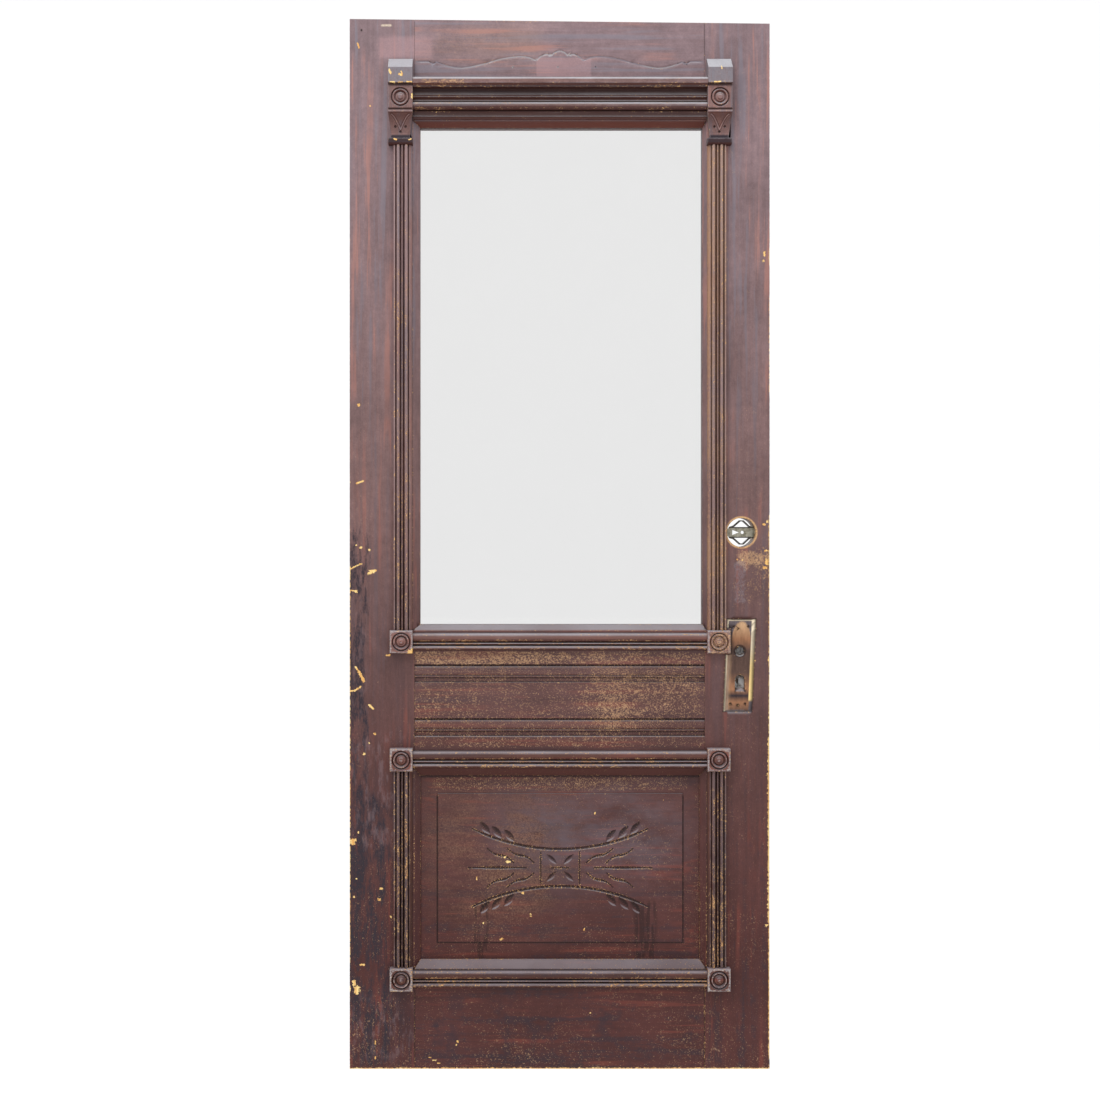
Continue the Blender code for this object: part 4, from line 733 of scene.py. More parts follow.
def corner_block(name, material, bare_corner=None):
    """Square block with a turned rosette: a spun disc whose rim is drawn out to the square. bare_corner is the
    (across, up) of a corner where the varnish is gone."""
    low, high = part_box(name)
    centre = Vector(((low.x + high.x) / 2, low.y, (low.z + high.z) / 2))
    bm = bmesh.new()
    worn, sunk = layers(bm, "worn", "sunk")
    section = []
    for i in range(ROSETTE_STEPS + 1):
        share = i / ROSETTE_STEPS
        depth = max(0.0, rosette_sunk(share)) * ROSETTE_DEPTH
        vert = bm.verts.new(centre + Vector((share * ROSETTE_RADIUS, depth, 0.0)))
        vert[sunk] = ring_grime_and_shade(share)
        vert[worn] = ring_wear(share)
        section.append(vert)
    edges = [bm.edges.new(pair) for pair in zip(section, section[1:])]
    bmesh.ops.spin(bm, geom=section + edges, cent=centre, axis=(0, 1, 0), angle=math.tau, steps=RING_STEPS,
                   use_merge=True)
    bmesh.ops.remove_doubles(bm, verts=bm.verts, dist=WELD)
    half = BLOCK_SIDE / 2
    rings = ((0.5, half - 0.0008 - BLOCK_CHAMFER, 0.0, 0.70), (1.0, half - BLOCK_CHAMFER, 0.0, 1.0),
             (1.0, half - BLOCK_CHAMFER * 0.4, BLOCK_CHAMFER * 0.35, 1.1), (1.0, half, BLOCK_CHAMFER, 1.0),
             (1.0, half, 0.006, 0.55), (1.0, half, high.y - low.y, 0.0))
    for squareness, reach, back, wear in rings:
        rim = [edge for edge in bm.edges if edge.is_boundary]
        drawn = bmesh.ops.extrude_edge_only(bm, edges=rim)["geom"]
        for vert in points_of(drawn):
            angle = math.atan2(vert.co.z - centre.z, vert.co.x - centre.x)
            square = reach / max(abs(math.cos(angle)), abs(math.sin(angle)))
            length = ROSETTE_RADIUS + (square - ROSETTE_RADIUS) * squareness if squareness < 1 else square
            vert.co = centre + Vector((length * math.cos(angle), back, length * math.sin(angle)))
            vert[worn] = wear
            vert[sunk] = 0.0
    bmesh.ops.contextual_create(bm, geom=[edge for edge in bm.edges if edge.is_boundary])
    bare, = layers(bm, "bare")
    for vert in bm.verts:
        rough = noise.noise(Vector((vert.co.x * 120, vert.co.y * 120, vert.co.z * 120)))
        if vert[worn] > 0.8 and rough > 0.1:
            vert.co.y += 0.0008 * (rough - 0.1) * 3
        if bare_corner:
            away = math.hypot(vert.co.x - centre.x - bare_corner[0] * half,
                              vert.co.z - centre.z - bare_corner[1] * half)
            vert[bare] = held(1.15 - away / 0.016, 0.0, 1.0)
    return piece("block_" + name, bm, material, "worn_moulding", name)


CONSOLE_WIDTH = 0.047
CONSOLE_COLUMNS = 76
CONSOLE_PARTS = {"abacus": 0.012, "neck": 0.004, "bracket": 0.044, "astragal": 0.004, "quirk": 0.0038,
                 "block": 0.0434, "cap": 0.030, "slope": 0.023}
BRACKET_TAPER = 0.0055
CONSOLE_DEPTHS = {"abacus": 0.017, "neck": 0.012, "bracket": 0.024, "astragal": 0.026, "quirk": 0.021,
                  "block": 0.024, "cap": 0.030, "top": 0.003}


def bracket_depth(share):
    return CONSOLE_DEPTHS["neck"] + (CONSOLE_DEPTHS["bracket"] - CONSOLE_DEPTHS["neck"]) * share ** 2.2


def console_line():
    """Side view of a console as (height above its foot, depth)."""
    parts, depths = CONSOLE_PARTS, CONSOLE_DEPTHS
    splay = 0.003
    b = parts["abacus"]
    points = [(0.0, depths["abacus"] - splay), (splay, depths["abacus"]), (b, depths["abacus"]),
              (b, depths["neck"])]
    b += parts["neck"]
    points += [(b + parts["bracket"] * i / 24, bracket_depth(i / 24)) for i in range(25)]
    b += parts["bracket"]
    for part in ("astragal", "quirk", "block", "quirk", "cap"):
        points += [(b, depths[part]), (b + parts[part], depths[part])]
        b += parts[part]
    points += [(b + parts["slope"] - 0.0015, depths["top"] + 0.003), (b + parts["slope"], depths["top"])]
    return points


def near_line(point, line):
    """Distance from a flat point to a line of points."""
    best = 1.0
    for a, b in zip(line, line[1:]):
        run = (b[0] - a[0], b[1] - a[1])
        length = run[0] ** 2 + run[1] ** 2
        t = held(((point[0] - a[0]) * run[0] + (point[1] - a[1]) * run[1]) / length, 0.0, 1.0)
        best = min(best, math.hypot(point[0] - a[0] - run[0] * t, point[1] - a[1] - run[1] * t))
    return best


CONSOLE_CHIPS = (
    (389.6, 73.8, 391.0, 77.4, 1.1), (399.4, 78.2, 402.2, 79.4, 1.1), (401.4, 75.8, 402.4, 78.0, 0.7),
    (390.6, 86.0, 395.0, 86.2, 0.6), (398.4, 86.4, 403.0, 86.2, 0.4), (407.0, 86.0, 411.6, 85.8, 0.7),
    (412.0, 97.0, 412.2, 101.0, 0.9), (394.2, 141.0, 396.4, 141.6, 0.8), (408.4, 142.0, 411.0, 141.4, 0.6),
    (702.0, 86.2, 705.0, 86.2, 0.6), (712.0, 86.0, 718.0, 85.8, 0.7), (719.0, 70.0, 719.2, 73.0, 0.6),
)


def console(name, material):
    """Capped console: rosette block over a tapered bracket with an incised leaf."""
    low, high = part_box(name)
    middle = (low.x + high.x) / 2
    line = softened(shaped_line(console_line(), 0.0007))
    proud = standing(line, 0.004)
    foot = CONSOLE_PARTS["abacus"] + CONSOLE_PARTS["neck"]
    head = foot + CONSOLE_PARTS["bracket"]
    rosette = head + CONSOLE_PARTS["astragal"] + CONSOLE_PARTS["quirk"] + CONSOLE_PARTS["block"] / 2
    half = CONSOLE_WIDTH / 2 - BRACKET_TAPER
    rise = CONSOLE_PARTS["bracket"]
    veins = []
    for hand in (1, -1):
        veins.append([(hand * half * (0.95 - 0.83 * t ** 0.7), foot + rise * (0.90 - 0.52 * t))
                      for t in (i / 7 for i in range(8))])
        veins.append([(hand * half * 0.12 * (1 - t), foot + rise * (0.38 - 0.10 * t)) for t in (0.0, 0.5, 1.0)])
    drills = [(half * side, foot + rise * share) for side, share in ((0.0, 0.20), (0.55, 0.42), (-0.55, 0.42))]
    # Bands darkened up the console, as (start, end, strength): darker abacus, neck, bracket, block and cap, and painted
    # shadow in the quirks under the rosette block and under the cap
    dark_and_shaded_runs = ((-0.001, 0.0112, 0.88), (foot - 0.003, foot + 0.006, 0.30), (foot + 0.006, head - 0.004, 0.55),
                 (head + 0.0035, head + 0.0085, 1.0), (rosette - 0.0215, rosette + 0.0215, 0.32),
                 (rosette + 0.0215, rosette + 0.0262, 1.0), (rosette + 0.0262, rosette + 0.060, 0.20))

    def set_point(column, row):
        b, d = line[row]
        share = 2 * column / CONSOLE_COLUMNS - 1
        width = CONSOLE_WIDTH / 2
        if foot - CONSOLE_PARTS["neck"] + 0.0002 < b < head:
            width -= BRACKET_TAPER * held((head - b) / rise, 0.0, 1.0)
        across = share * width
        edge = 1 - abs(share)
        worn = held(0.35 + proud[row] / 0.004, 0.0, 1.0)
        worn = max(worn, held(1.0 - edge * width / 0.006, 0.0, 1.0) * 0.95)
        # Hollows of the side view take grime and painted shade.
        sunk = held(-proud[row] / 0.004, 0.0, 1.0)
        turned = math.hypot(across, b - rosette) / ROSETTE_RADIUS
        if turned < 1.0:
            d -= max(0.0, rosette_sunk(turned)) * ROSETTE_DEPTH
            worn, sunk = ring_wear(turned) * 0.8, ring_grime_and_shade(turned)
        for start, end, strength in dark_and_shaded_runs:
            if start <= b <= end and turned >= 1.0:
                sunk = max(sunk, strength)
        if foot < b < head:
            gap = min(near_line((across, b), vein) for vein in veins)
            if gap < 0.0028:
                d -= 0.0011 * max(0.0, 1 - abs(gap - 0.0019) / 0.0012)
                worn = max(worn * 0.6, 1.0 - gap / 0.0030)
                sunk = 0.9 * held(gap / 0.0012 - 0.7, 0.0, 1.0)
            hole = min(math.hypot(across - u, b - v) for u, v in drills)
            if hole < 0.0021:
                d -= 0.003
                worn, sunk = 0.0, 1.0
        if edge * width < 0.0006:
            d -= 0.0005
        return Vector((middle + across, CORNER.y - d, low.z + b)), worn, sunk

    bm = mapped_grid(CONSOLE_COLUMNS, len(line) - 1, set_point)
    mark_chips(bm, CONSOLE_CHIPS)
    close_behind(bm, high.y)
    return piece("carved_" + name, bm, material, "worn_moulding", name, smooth_angle=50.0)


# Chips in the varnish, in the photograph's pixels: (px, py, half width, half height), or as a stroke
# (px, py, px, py, half width)
STILE_CHIPS = (
    (349.4, 569.2, 361.2, 563.6, 0.75), (368.0, 573.6, 374.6, 571.0, 1.6), (368.6, 570.6, 376.0, 570.2, 0.7),
    (349.6, 590.2, 355.0, 591.2, 0.6), (355.8, 591.4, 1.7, 1.5), (355.2, 667.0, 358.6, 672.0, 1.0),
    (358.6, 672.0, 363.4, 681.0, 1.5), (349.8, 691.4, 355.0, 690.6, 0.9), (355.0, 690.4, 360.2, 686.8, 1.0),
    (368.8, 705.2, 373.0, 709.0, 1.1), (356.0, 545.4, 1.0, 1.0), (360.4, 547.6, 1.5, 1.2),
    (357.2, 43.6, 358.6, 47.8, 0.9), (387.6, 655.3, 2.6, 1.0), (374.3, 734.0, 1.3, 1.3),
    (369.0, 743.0, 0.9, 0.9), (363.7, 754.0, 1.4, 1.2), (352.4, 842.0, 2.2, 3.4), (355.0, 840.0, 1.6, 1.6),
    (358.0, 832.6, 0.8, 1.3), (380.7, 888.7, 2.3, 1.1), (378.7, 899.4, 1.9, 1.2), (390.5, 916.8, 0.9, 1.3),
    (356.0, 879.0, 0.9, 0.8), (354.0, 897.0, 1.2, 1.2), (361.9, 964.8, 2.6, 1.1), (356.6, 990.0, 3.0, 4.6),
    (353.6, 983.0, 1.8, 3.2), (375.0, 1042.6, 0.7, 2.2), (375.0, 1058.0, 0.6, 2.2), (358.2, 405.0, 1.8, 1.5),
    (356.4, 483.4, 362.6, 481.2, 1.0), (369.2, 550.0, 1.6, 1.1), (369.8, 106.0, 0.8, 1.0), (764.0, 254.0, 1.0, 2.8),
    (763.2, 261.0, 1.3, 1.4), (766.4, 562.0, 1.6, 3.4), (764.6, 567.8, 2.6, 1.4), (763.6, 524.4, 1.8, 1.2),
    (766.8, 521.4, 0.9, 1.8), (765.6, 550.6, 2.0, 1.1), (768.0, 660.0, 0.9, 1.4), (754.6, 660.8, 0.7, 0.8),
    (766.4, 925.0, 1.7, 1.1), (742.0, 560.0, 1.0, 0.8), (736.8, 559.6, 1.0, 0.7),
)
PANEL_CHIPS = (
    (530.3, 915.4, 2.0, 1.9), (501.4, 939.8, 2.1, 1.5), (483.0, 923.8, 0.8, 0.8), (497.2, 938.6, 0.9, 0.8),
    (522.4, 893.8, 1.4, 1.1), (508.0, 862.6, 2.6, 1.3), (504.6, 858.0, 1.2, 1.0), (584.0, 930.0, 0.9, 1.0),
    (662.7, 800.3, 0.8, 1.3), (594.8, 813.5, 1.0, 0.7), (476.4, 879.0, 0.7, 1.8), (538.6, 931.0, 0.7, 0.8),
)
RAIL_CHIPS = (
    (457.3, 1041.7, 1.0, 1.7), (456.0, 1045.0, 0.8, 1.0), (429.6, 1057.4, 1.9, 0.6), (434.0, 1060.4, 2.0, 0.6),
    (438.4, 1063.2, 1.7, 0.6), (411.9, 678.5, 1.6, 1.3), (407.0, 690.0, 1.1, 0.6), (589.8, 1013.0, 0.9, 0.8),
)


def bareness(u, v, chips):
    """How deep inside the nearest chip a point lies: 1 in its middle, 0.5 at its rim, 0 well outside."""
    best = 0.0
    for *line, half in chips:
        away = near_line((u, v), (line[:2], line[2:])) / half
        best = max(best, 1.0 - away / 2)
    return best


def real_chips(pixels):
    """The chips in metres on the door, each as a stroke (u, v, u, v, half width)."""
    strokes = []
    for chip in pixels:
        if len(chip) == 4:
            px, py, half_x, half_y = chip
            half = min(half_x, half_y)
            reach_x, reach_y = half_x - half + 0.01, half_y - half
            chip = (px - reach_x, py - reach_y, px + reach_x, py + reach_y, half)
        *line, half = chip
        strokes.append((*spot(*line[:2]), *spot(*line[2:]), half * PIXEL))
    return strokes


def mark_chips(bm, pixels):
    """The layer that says how far a point lies inside a chip."""
    bare, = layers(bm, "bare")
    chips = real_chips(pixels)
    for vert in bm.verts:
        vert[bare] = bareness(vert.co.x - CORNER.x, vert.co.z - CORNER.z, chips)


def arrises(bm):
    """The sharp edges of a body that stand out, and those that fold in, as arrays of end points."""
    out, inward = [], []
    for edge in bm.edges:
        if len(edge.link_faces) == 2 and edge.calc_face_angle(0.0) > SHARP:
            (out if edge.is_convex else inward).append([tuple(v.co) for v in edge.verts])
    return np.array(out).reshape(-1, 2, 3), np.array(inward).reshape(-1, 2, 3)


def distances(points, segments):
    """Distance from each point to the nearest segment."""
    best = np.full(len(points), 1.0)
    for a, b in segments:
        run = b - a
        t = np.clip(((points - a) @ run) / max(run @ run, 1e-12), 0.0, 1.0)
        best = np.minimum(best, np.linalg.norm(points - a - t[:, None] * run, axis=1))
    return best


def sliced(bm, axis, places):
    """Extra rows of points across a body, at places along an axis."""
    normal = Vector((0.0, 0.0, 0.0))
    normal[axis] = 1.0
    for place in places:
        point = normal * place
        bmesh.ops.bisect_plane(bm, geom=bm.verts[:] + bm.edges[:] + bm.faces[:], plane_co=point, plane_no=normal,
                               dist=WELD)


def spaced(low, high, gap):
    count = max(1, round((high - low) / gap))
    return [low + (high - low) * i / count for i in range(1, count)]


def finely_divided(bm, wanted, shortest):
    """Halves the edges that wanted(middles, lengths) picks until they are short."""
    for _ in range(5):
        edges = [edge for edge in bm.edges if edge.calc_length() > shortest]
        if not edges:
            return
        middles = np.array([tuple((edge.verts[0].co + edge.verts[1].co) / 2) for edge in edges])
        picked = wanted(middles, np.array([edge.calc_length() for edge in edges]))
        long_edges = [edge for edge, yes in zip(edges, picked) if yes]
        if not long_edges:
            return
        bmesh.ops.subdivide_edges(bm, edges=long_edges, cuts=1, use_grid_fill=True)


# Wear along the door's own edges: (v low, v high, depth) of broken stretches, hinge edge then lock edge
HINGE_EDGE_BREAKS = ((0.150, 0.162, 0.0034), (0.434, 0.446, 0.0040), (0.730, 0.741, 0.0030), (0.965, 0.975, 0.0026),
                     (1.130, 1.142, 0.0020), (1.60, 1.61, 0.0016), (0.20, 0.98, 0.0012))
LOCK_EDGE_BREAKS = ((0.02, 0.28, 0.0036), (0.28, 0.645, 0.0058), (0.645, 1.075, 0.0022), (1.555, 1.59, 0.0022),
                    (1.30, 1.50, 0.0012))


# The same for the foot of the door, which starts at FOOT_START on a line of its own
FOOT_START = 5.0
FOOT_BREAKS = ((FOOT_START, FOOT_START + 0.9, 0.0030),)
FOOT_ZONE = 0.012


def broken_depth(v, stretches, seed):
    """Depth of the broken arris at a height."""
    rough = 0.5 + 0.5 * noise.noise(Vector((seed, 0.0, v * 190)))
    rough *= 0.6 + 0.8 * (0.5 + 0.5 * noise.noise(Vector((seed, 3.0, v * 45))))
    depth = 0.0009 * max(0.0, rough - 0.35)
    for low, high, deep in stretches:
        edge = min(v - low, high - v)
        if edge > -0.004:
            depth = max(depth, deep * held((edge + 0.004) / 0.012, 0.0, 1.0) * rough)
    return depth


def joint_lines(name):
    """The edges of the other stiles and rails, where this one meets them."""
    lines = []
    for other in FRAME_MEMBERS:
        if other != name:
            solid = SOLIDS[other]
            bm = bmesh.new()
            bm.from_mesh(solid.data)
            bmesh.ops.dissolve_limit(bm, angle_limit=FLAT, verts=bm.verts, edges=bm.edges)
            lines += [arrises(bm)[0]]
            bm.free()
    return np.concatenate(lines)


# Rows of points on the frame: their gap, their places beside a long edge, and the finest at marks and broken edges
ROW_GAP = 0.014
ROWS_BY_EDGES = (-0.0055, -0.0022, 0.0022, 0.0055)
LONG_EDGE = 0.12
FINEST_ROW = 0.0022
EDGE_ZONE, EDGE_ZONE_DEPTH, FOOT_ROWS = 0.0065, 0.010, 0.0045
WORN_REACH, SUNK_REACH = 0.0042, 0.0040


def frame_member(name, grain, chips=(), edge=None, hollow="sunk", **finish):
    """A stile or rail: the CAD solid's shape with finer rows, broken arrises and wear marks."""
    bm = bmesh.new()
    bm.from_mesh(SOLIDS[name].data)
    bmesh.ops.remove_doubles(bm, verts=bm.verts, dist=WELD)
    bmesh.ops.dissolve_limit(bm, angle_limit=FLAT, verts=bm.verts, edges=bm.edges)
    out, inward = arrises(bm)
    met = distances((out[:, 0] + out[:, 1]) / 2, joint_lines(name)) < 0.0006
    out = out[~met]
    low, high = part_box(name)
    cuts = {0: spaced(low.x, high.x, ROW_GAP), 2: spaced(low.z, high.z, ROW_GAP)}
    for lines in (out, inward):
        runs = np.abs(lines[:, 1] - lines[:, 0])
        for axis, other in ((0, 2), (2, 0)):
            straight = lines[(runs[:, other] > LONG_EDGE) & (runs[:, axis] < 1e-5)]
            places = {round(float(place), 4) for place in straight[:, 0, axis]}
            cuts[axis] += [place + shift for place in places for shift in ROWS_BY_EDGES]
    outer = {"hinge": low.x, "lock": high.x}.get(edge)
    for axis in (0, 2):
        kept = sorted(place for place in cuts[axis] if low[axis] + 0.0008 < place < high[axis] - 0.0008)
        sliced(bm, axis, [b for a, b in zip([-9.0, *kept], kept) if b - a > 0.0006])
    if edge or low.z < CORNER.z + 0.001:
        sliced(bm, 1, [CORNER.y + 0.0035, CORNER.y + 0.008])
    marks = real_chips(chips)
    short = inward[np.linalg.norm(inward[:, 1] - inward[:, 0], axis=1) < 0.02]

    def wanted(middles, lengths):
        u, back, v = middles[:, 0] - CORNER.x, middles[:, 1] - CORNER.y, middles[:, 2] - CORNER.z
        near = v < FOOT_ROWS
        if outer is not None:
            near |= np.abs(middles[:, 0] - outer) < EDGE_ZONE
        near &= back < EDGE_ZONE_DEPTH
        for u_a, v_a, u_b, v_b, half in marks:
            reach = half * 2 + lengths / 2
            near |= (back < 1e-4) & (np.abs(u - (u_a + u_b) / 2) < abs(u_b - u_a) / 2 + reach) & \
                (np.abs(v - (v_a + v_b) / 2) < abs(v_b - v_a) / 2 + reach)
        if len(short):
            near |= (back < 0.004) & (lengths > 0.0035) & (distances(middles, short) < 0.003 + lengths / 2)
        return near

    finely_divided(bm, wanted, FINEST_ROW)
    worn, sunk, bare = layers(bm, "worn", hollow, "bare")
    points = np.array([tuple(vert.co) for vert in bm.verts])
    near_out, near_in = distances(points, out), distances(points, inward)
    stretches = HINGE_EDGE_BREAKS if edge == "hinge" else LOCK_EDGE_BREAKS
    for vert, away, fold in zip(bm.verts, near_out, near_in):
        vert[worn] = max(0.0, 1.0 - away / WORN_REACH)
        # Points near inward folds are marked sunk; the coat paints grime and shade there.
        vert[sunk] = max(0.0, 1.0 - fold / SUNK_REACH)
        u, v = vert.co.x - CORNER.x, vert.co.z - CORNER.z
        back = vert.co.y - CORNER.y
        if back < 1e-4 and marks:
            vert[bare] = bareness(u, v, marks)
        if outer is not None:
            depth = broken_depth(v, stretches, 1.0 if edge == "hinge" else 7.0)
            reach = math.hypot(abs(vert.co.x - outer), back)
            if reach < depth:
                inwards = 1.0 if edge == "hinge" else -1.0
                vert.co.x += inwards * (depth - reach) * 0.60
                vert.co.y += (depth - reach) * 0.60
            if depth > 0.0005:
                vert[bare] = max(vert[bare], held(1.12 - reach / (depth + 0.0006) * 0.60, 0.0, 1.0))
        if v < FOOT_ZONE:
            depth = broken_depth(u + FOOT_START, FOOT_BREAKS, 4.0)
            reach = math.hypot(v, back)
            if reach < depth:
                vert.co.z += (depth - reach) * 0.8
                vert.co.y += (depth - reach) * 0.5
            vert[bare] = max(vert[bare], held(1.2 - reach / (depth * 1.1 + 0.0008) * 0.6, 0.0, 1.0))
    return piece("dressed_" + name, bm, aged_varnish(name + "_varnish", grain, **finish), "varnished_wood", name,
                 smooth_angle=28.0)


# Carving on the panel's field, measured from its middle
PANEL_SIGHT = (0.137, 0.6786, 0.210, 0.567)
PANEL_REACH = 0.0085
PANEL_MARGINS = (0.033, 0.034)
PANEL_FRONT = -0.0154
FIELD_FOOT = -0.0085
FIELD_FACE = -0.006


ARC_RADIUS, ARC_RISE, ARC_HALF = 0.385, 0.036, 0.170
LEAF_HALF, LEAF_SLOPE = 0.0135, math.radians(50)
CARVED_U, CARVED_V = 0.182, 0.088
CARVED_ROW, PLAIN_ROW = 0.0011, 0.006


def panel_strokes():
    """Every cut of the carving: a line of points from the field's middle, its width and its depth."""
    def rise(u):
        return ARC_RISE + ARC_RADIUS - math.sqrt(ARC_RADIUS ** 2 - u ** 2)

    def straight(a, b, count=9):
        return [(a[0] + (b[0] - a[0]) * i / (count - 1), a[1] + (b[1] - a[1]) * i / (count - 1))
                for i in range(count)]

    strokes = []
    for sign in (1, -1):
        places = [ARC_HALF * (i / 20 - 1) for i in range(41)]
        strokes.append(([(u, sign * rise(u)) for u in places], 0.0060, 0.0020, "even"))
    for mirror_u in (1, -1):
        for mirror_v in (1, -1):
            across, up = math.cos(LEAF_SLOPE) * LEAF_HALF, math.sin(LEAF_SLOPE) * LEAF_HALF
            for station in (0.146, 0.123, 0.099):
                v = rise(station - across) + 0.0030 + 0.0024 + up
                line = straight((station - across, v - up), (station + across, v + up))
                strokes.append(([(mirror_u * a, mirror_v * b) for a, b in line], 0.0135, 0.0032, "leaf"))
            line = straight((0.0080, 0.0085), (0.0250, 0.0250))
            strokes.append(([(mirror_u * a, mirror_v * b) for a, b in line], 0.0092, 0.0030, "leaf"))
            for start in (0.051, 0.090):
                line = [(start + 0.051 * t, 0.010 + 0.0275 * (t + 0.12 * math.sin(math.tau * t)))
                        for t in (i / 12 for i in range(13))]
                strokes.append(([(mirror_u * a, mirror_v * b) for a, b in line], 0.0056, 0.0018, "leaf"))
        strokes.append((straight((mirror_u * 0.066, 0.0), (mirror_u * 0.178, 0.0), 13), 0.0058, 0.0020, "leaf"))
        strokes.append((straight((mirror_u * 0.0375, -0.031), (mirror_u * 0.0375, 0.031)), 0.0036, 0.0014, "even"))
    strokes.append((straight((-0.0165, 0.0), (0.0165, 0.0)), 0.0036, 0.0012, "leaf"))
    return strokes


def carving_depths(u, v):
    """Depth of the carving at arrays of field points, how near each is to a cut's lip, and how much grime and painted
    shade it takes.
    """
    depth = np.zeros_like(u)
    lip = np.zeros_like(u)
    grime_and_shade = np.zeros_like(u)
    for line, width, deep, kind in panel_strokes():
        last = len(line) - 1
        for i, (a, b) in enumerate(zip(line, line[1:])):
            run = np.array((b[0] - a[0], b[1] - a[1]))
            length = float(run @ run)
            t = np.clip(((u - a[0]) * run[0] + (v - a[1]) * run[1]) / length, 0.0, 1.0)
            away = np.hypot(u - a[0] - run[0] * t, v - a[1] - run[1] * t)
            share = (i + t) / last
            if kind == "leaf":
                swell = np.maximum(0.10, np.sin(np.pi * share) ** 0.7)
            else:
                swell = np.clip(np.minimum(share, 1 - share) * 9 + 0.3, 0.0, 1.0)
            half = np.maximum(width * swell / 2, 0.0017)
            inside = np.clip(1 - away / half, 0.0, 1.0)
            hollow = np.where(inside > 0, np.sin(inside * np.pi / 2) ** 0.6, 0.0)
            depth = np.maximum(depth, (0.35 + 0.65 * swell) * deep * hollow)
            broad = width > 0.008
            edge = np.clip(1.25 - np.abs(away - half - 0.0004) / 0.0013, 0.0, 1.0)
            lip = np.maximum(lip, edge * (0.62 if broad else 1.06))
            # Narrow cuts are darkened inside with grime and painted shade.
            grime_and_shade = np.maximum(grime_and_shade, (inside > 0) * (0.0 if broad else 0.80) * np.clip(inside * 4, 0.0, 1.0))
            # The top side of each broad leaf takes painted shade, as in a hollow lit from above.
            if broad:
                middle_v = a[1] + run[1] * t
                shaded_upper = np.clip((v - middle_v) / half * 1.6, 0.0, 1.0)
                grime_and_shade = np.maximum(grime_and_shade, (inside > 0) * shaded_upper * 0.80)
    return depth, lip, grime_and_shade


def uneven_rows(low, high, fine_low, fine_high, corners):
    """Places along one side of the panel's grid, close together where it is carved."""
    places = spaced(low, fine_low, PLAIN_ROW) + spaced(fine_high, high, PLAIN_ROW)
    places += [low, high, fine_low, fine_high] + spaced(fine_low, fine_high, CARVED_ROW) + list(corners)
    places = sorted(places)
    kept = [places[0]]
    kept += [b for a, b in zip(places, places[1:]) if b - a > 1e-5]
    return kept


def carved_panel():
    """Raised panel: sloping margins, a sharp shoulder and the carved field."""
    u_low, u_high, v_low, v_high = PANEL_SIGHT
    middle_u, middle_v = (u_low + u_high) / 2, (v_low + v_high) / 2
    side, end = PANEL_MARGINS
    rim = 0.0015
    steps = (-0.0030, -0.0015, 0.0, 0.0006, 0.0018, 0.0032)
    bends_u, bends_v = ([start + rim, *(start + margin + step for step in steps), stop - rim,
                         *(stop - margin - step for step in steps)]
                        for start, stop, margin in ((u_low, u_high, side), (v_low, v_high, end)))
    us = uneven_rows(u_low - PANEL_REACH, u_high + PANEL_REACH, middle_u - CARVED_U, middle_u + CARVED_U, bends_u)
    vs = uneven_rows(v_low - PANEL_REACH, v_high + PANEL_REACH, middle_v - CARVED_V, middle_v + CARVED_V, bends_v)
    grid_u, grid_v = np.meshgrid(us, vs, indexing="ij")
    inner = np.minimum(np.minimum((grid_u - u_low) / side, (u_high - grid_u) / side),
                       np.minimum((grid_v - v_low) / end, (v_high - grid_v) / end))
    level = PANEL_FRONT + (FIELD_FOOT - PANEL_FRONT) * np.clip(inner, 0.0, 1.0)
    level = np.where(inner > 1.0 + 0.0005 / side, FIELD_FACE, level)
    cut, lip, grime_and_shade = carving_depths(grid_u - middle_u, grid_v - middle_v)
    above = grid_v > v_high - end - 0.004
    # The field's shoulder is worn and, along its top, takes a painted highlight; its foot takes painted shadow, most at
    # the sides and bottom.
    worn_and_lit_shoulder = np.clip(1 - np.abs(inner - 1.03) * side / 0.0022, 0.0, 1.0) * np.where(above, 0.95, 0.55)
    foot = np.clip(1 - np.abs(inner - 0.985) * side / 0.0030, 0.0, 1.0) * np.where(above, 0.5, 1.0)

    def set_point(column, row):
        worn = max(float(lip[column, row]), float(worn_and_lit_shoulder[column, row]))
        sunk = max(float(grime_and_shade[column, row]), float(foot[column, row]))
        d = float(level[column, row] - cut[column, row])
        return at(us[column], vs[row], d), worn, min(1.0, sunk)

    bm = mapped_grid(len(us) - 1, len(vs) - 1, set_point)
    mark_chips(bm, PANEL_CHIPS)
    close_behind(bm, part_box("carved_panel")[1].y)
    rubbed = ((430, 777, 690, 792, 3.0, 0.66), (430, 820, 560, 925, 40.0, 0.36), (540, 895, 690, 950, 24.0, 0.34),
              (693, 780, 712, 955, 6.0, 0.50))
    return piece("dressed_carved_panel", bm, aged_varnish("panel_varnish", "level", rubbed=rubbed, marks=panel_stains,
                                                         lit=(0.24, 0.46)),
                 "varnished_wood", "carved_panel", smooth_angle=40.0)


def paint(name, description, red, green, blue):
    """A colour among the settings, whose default is as read off a photograph."""
    return FloatVectorProperty(name=name, description=description, subtype="COLOR", default=tone(red, green, blue))


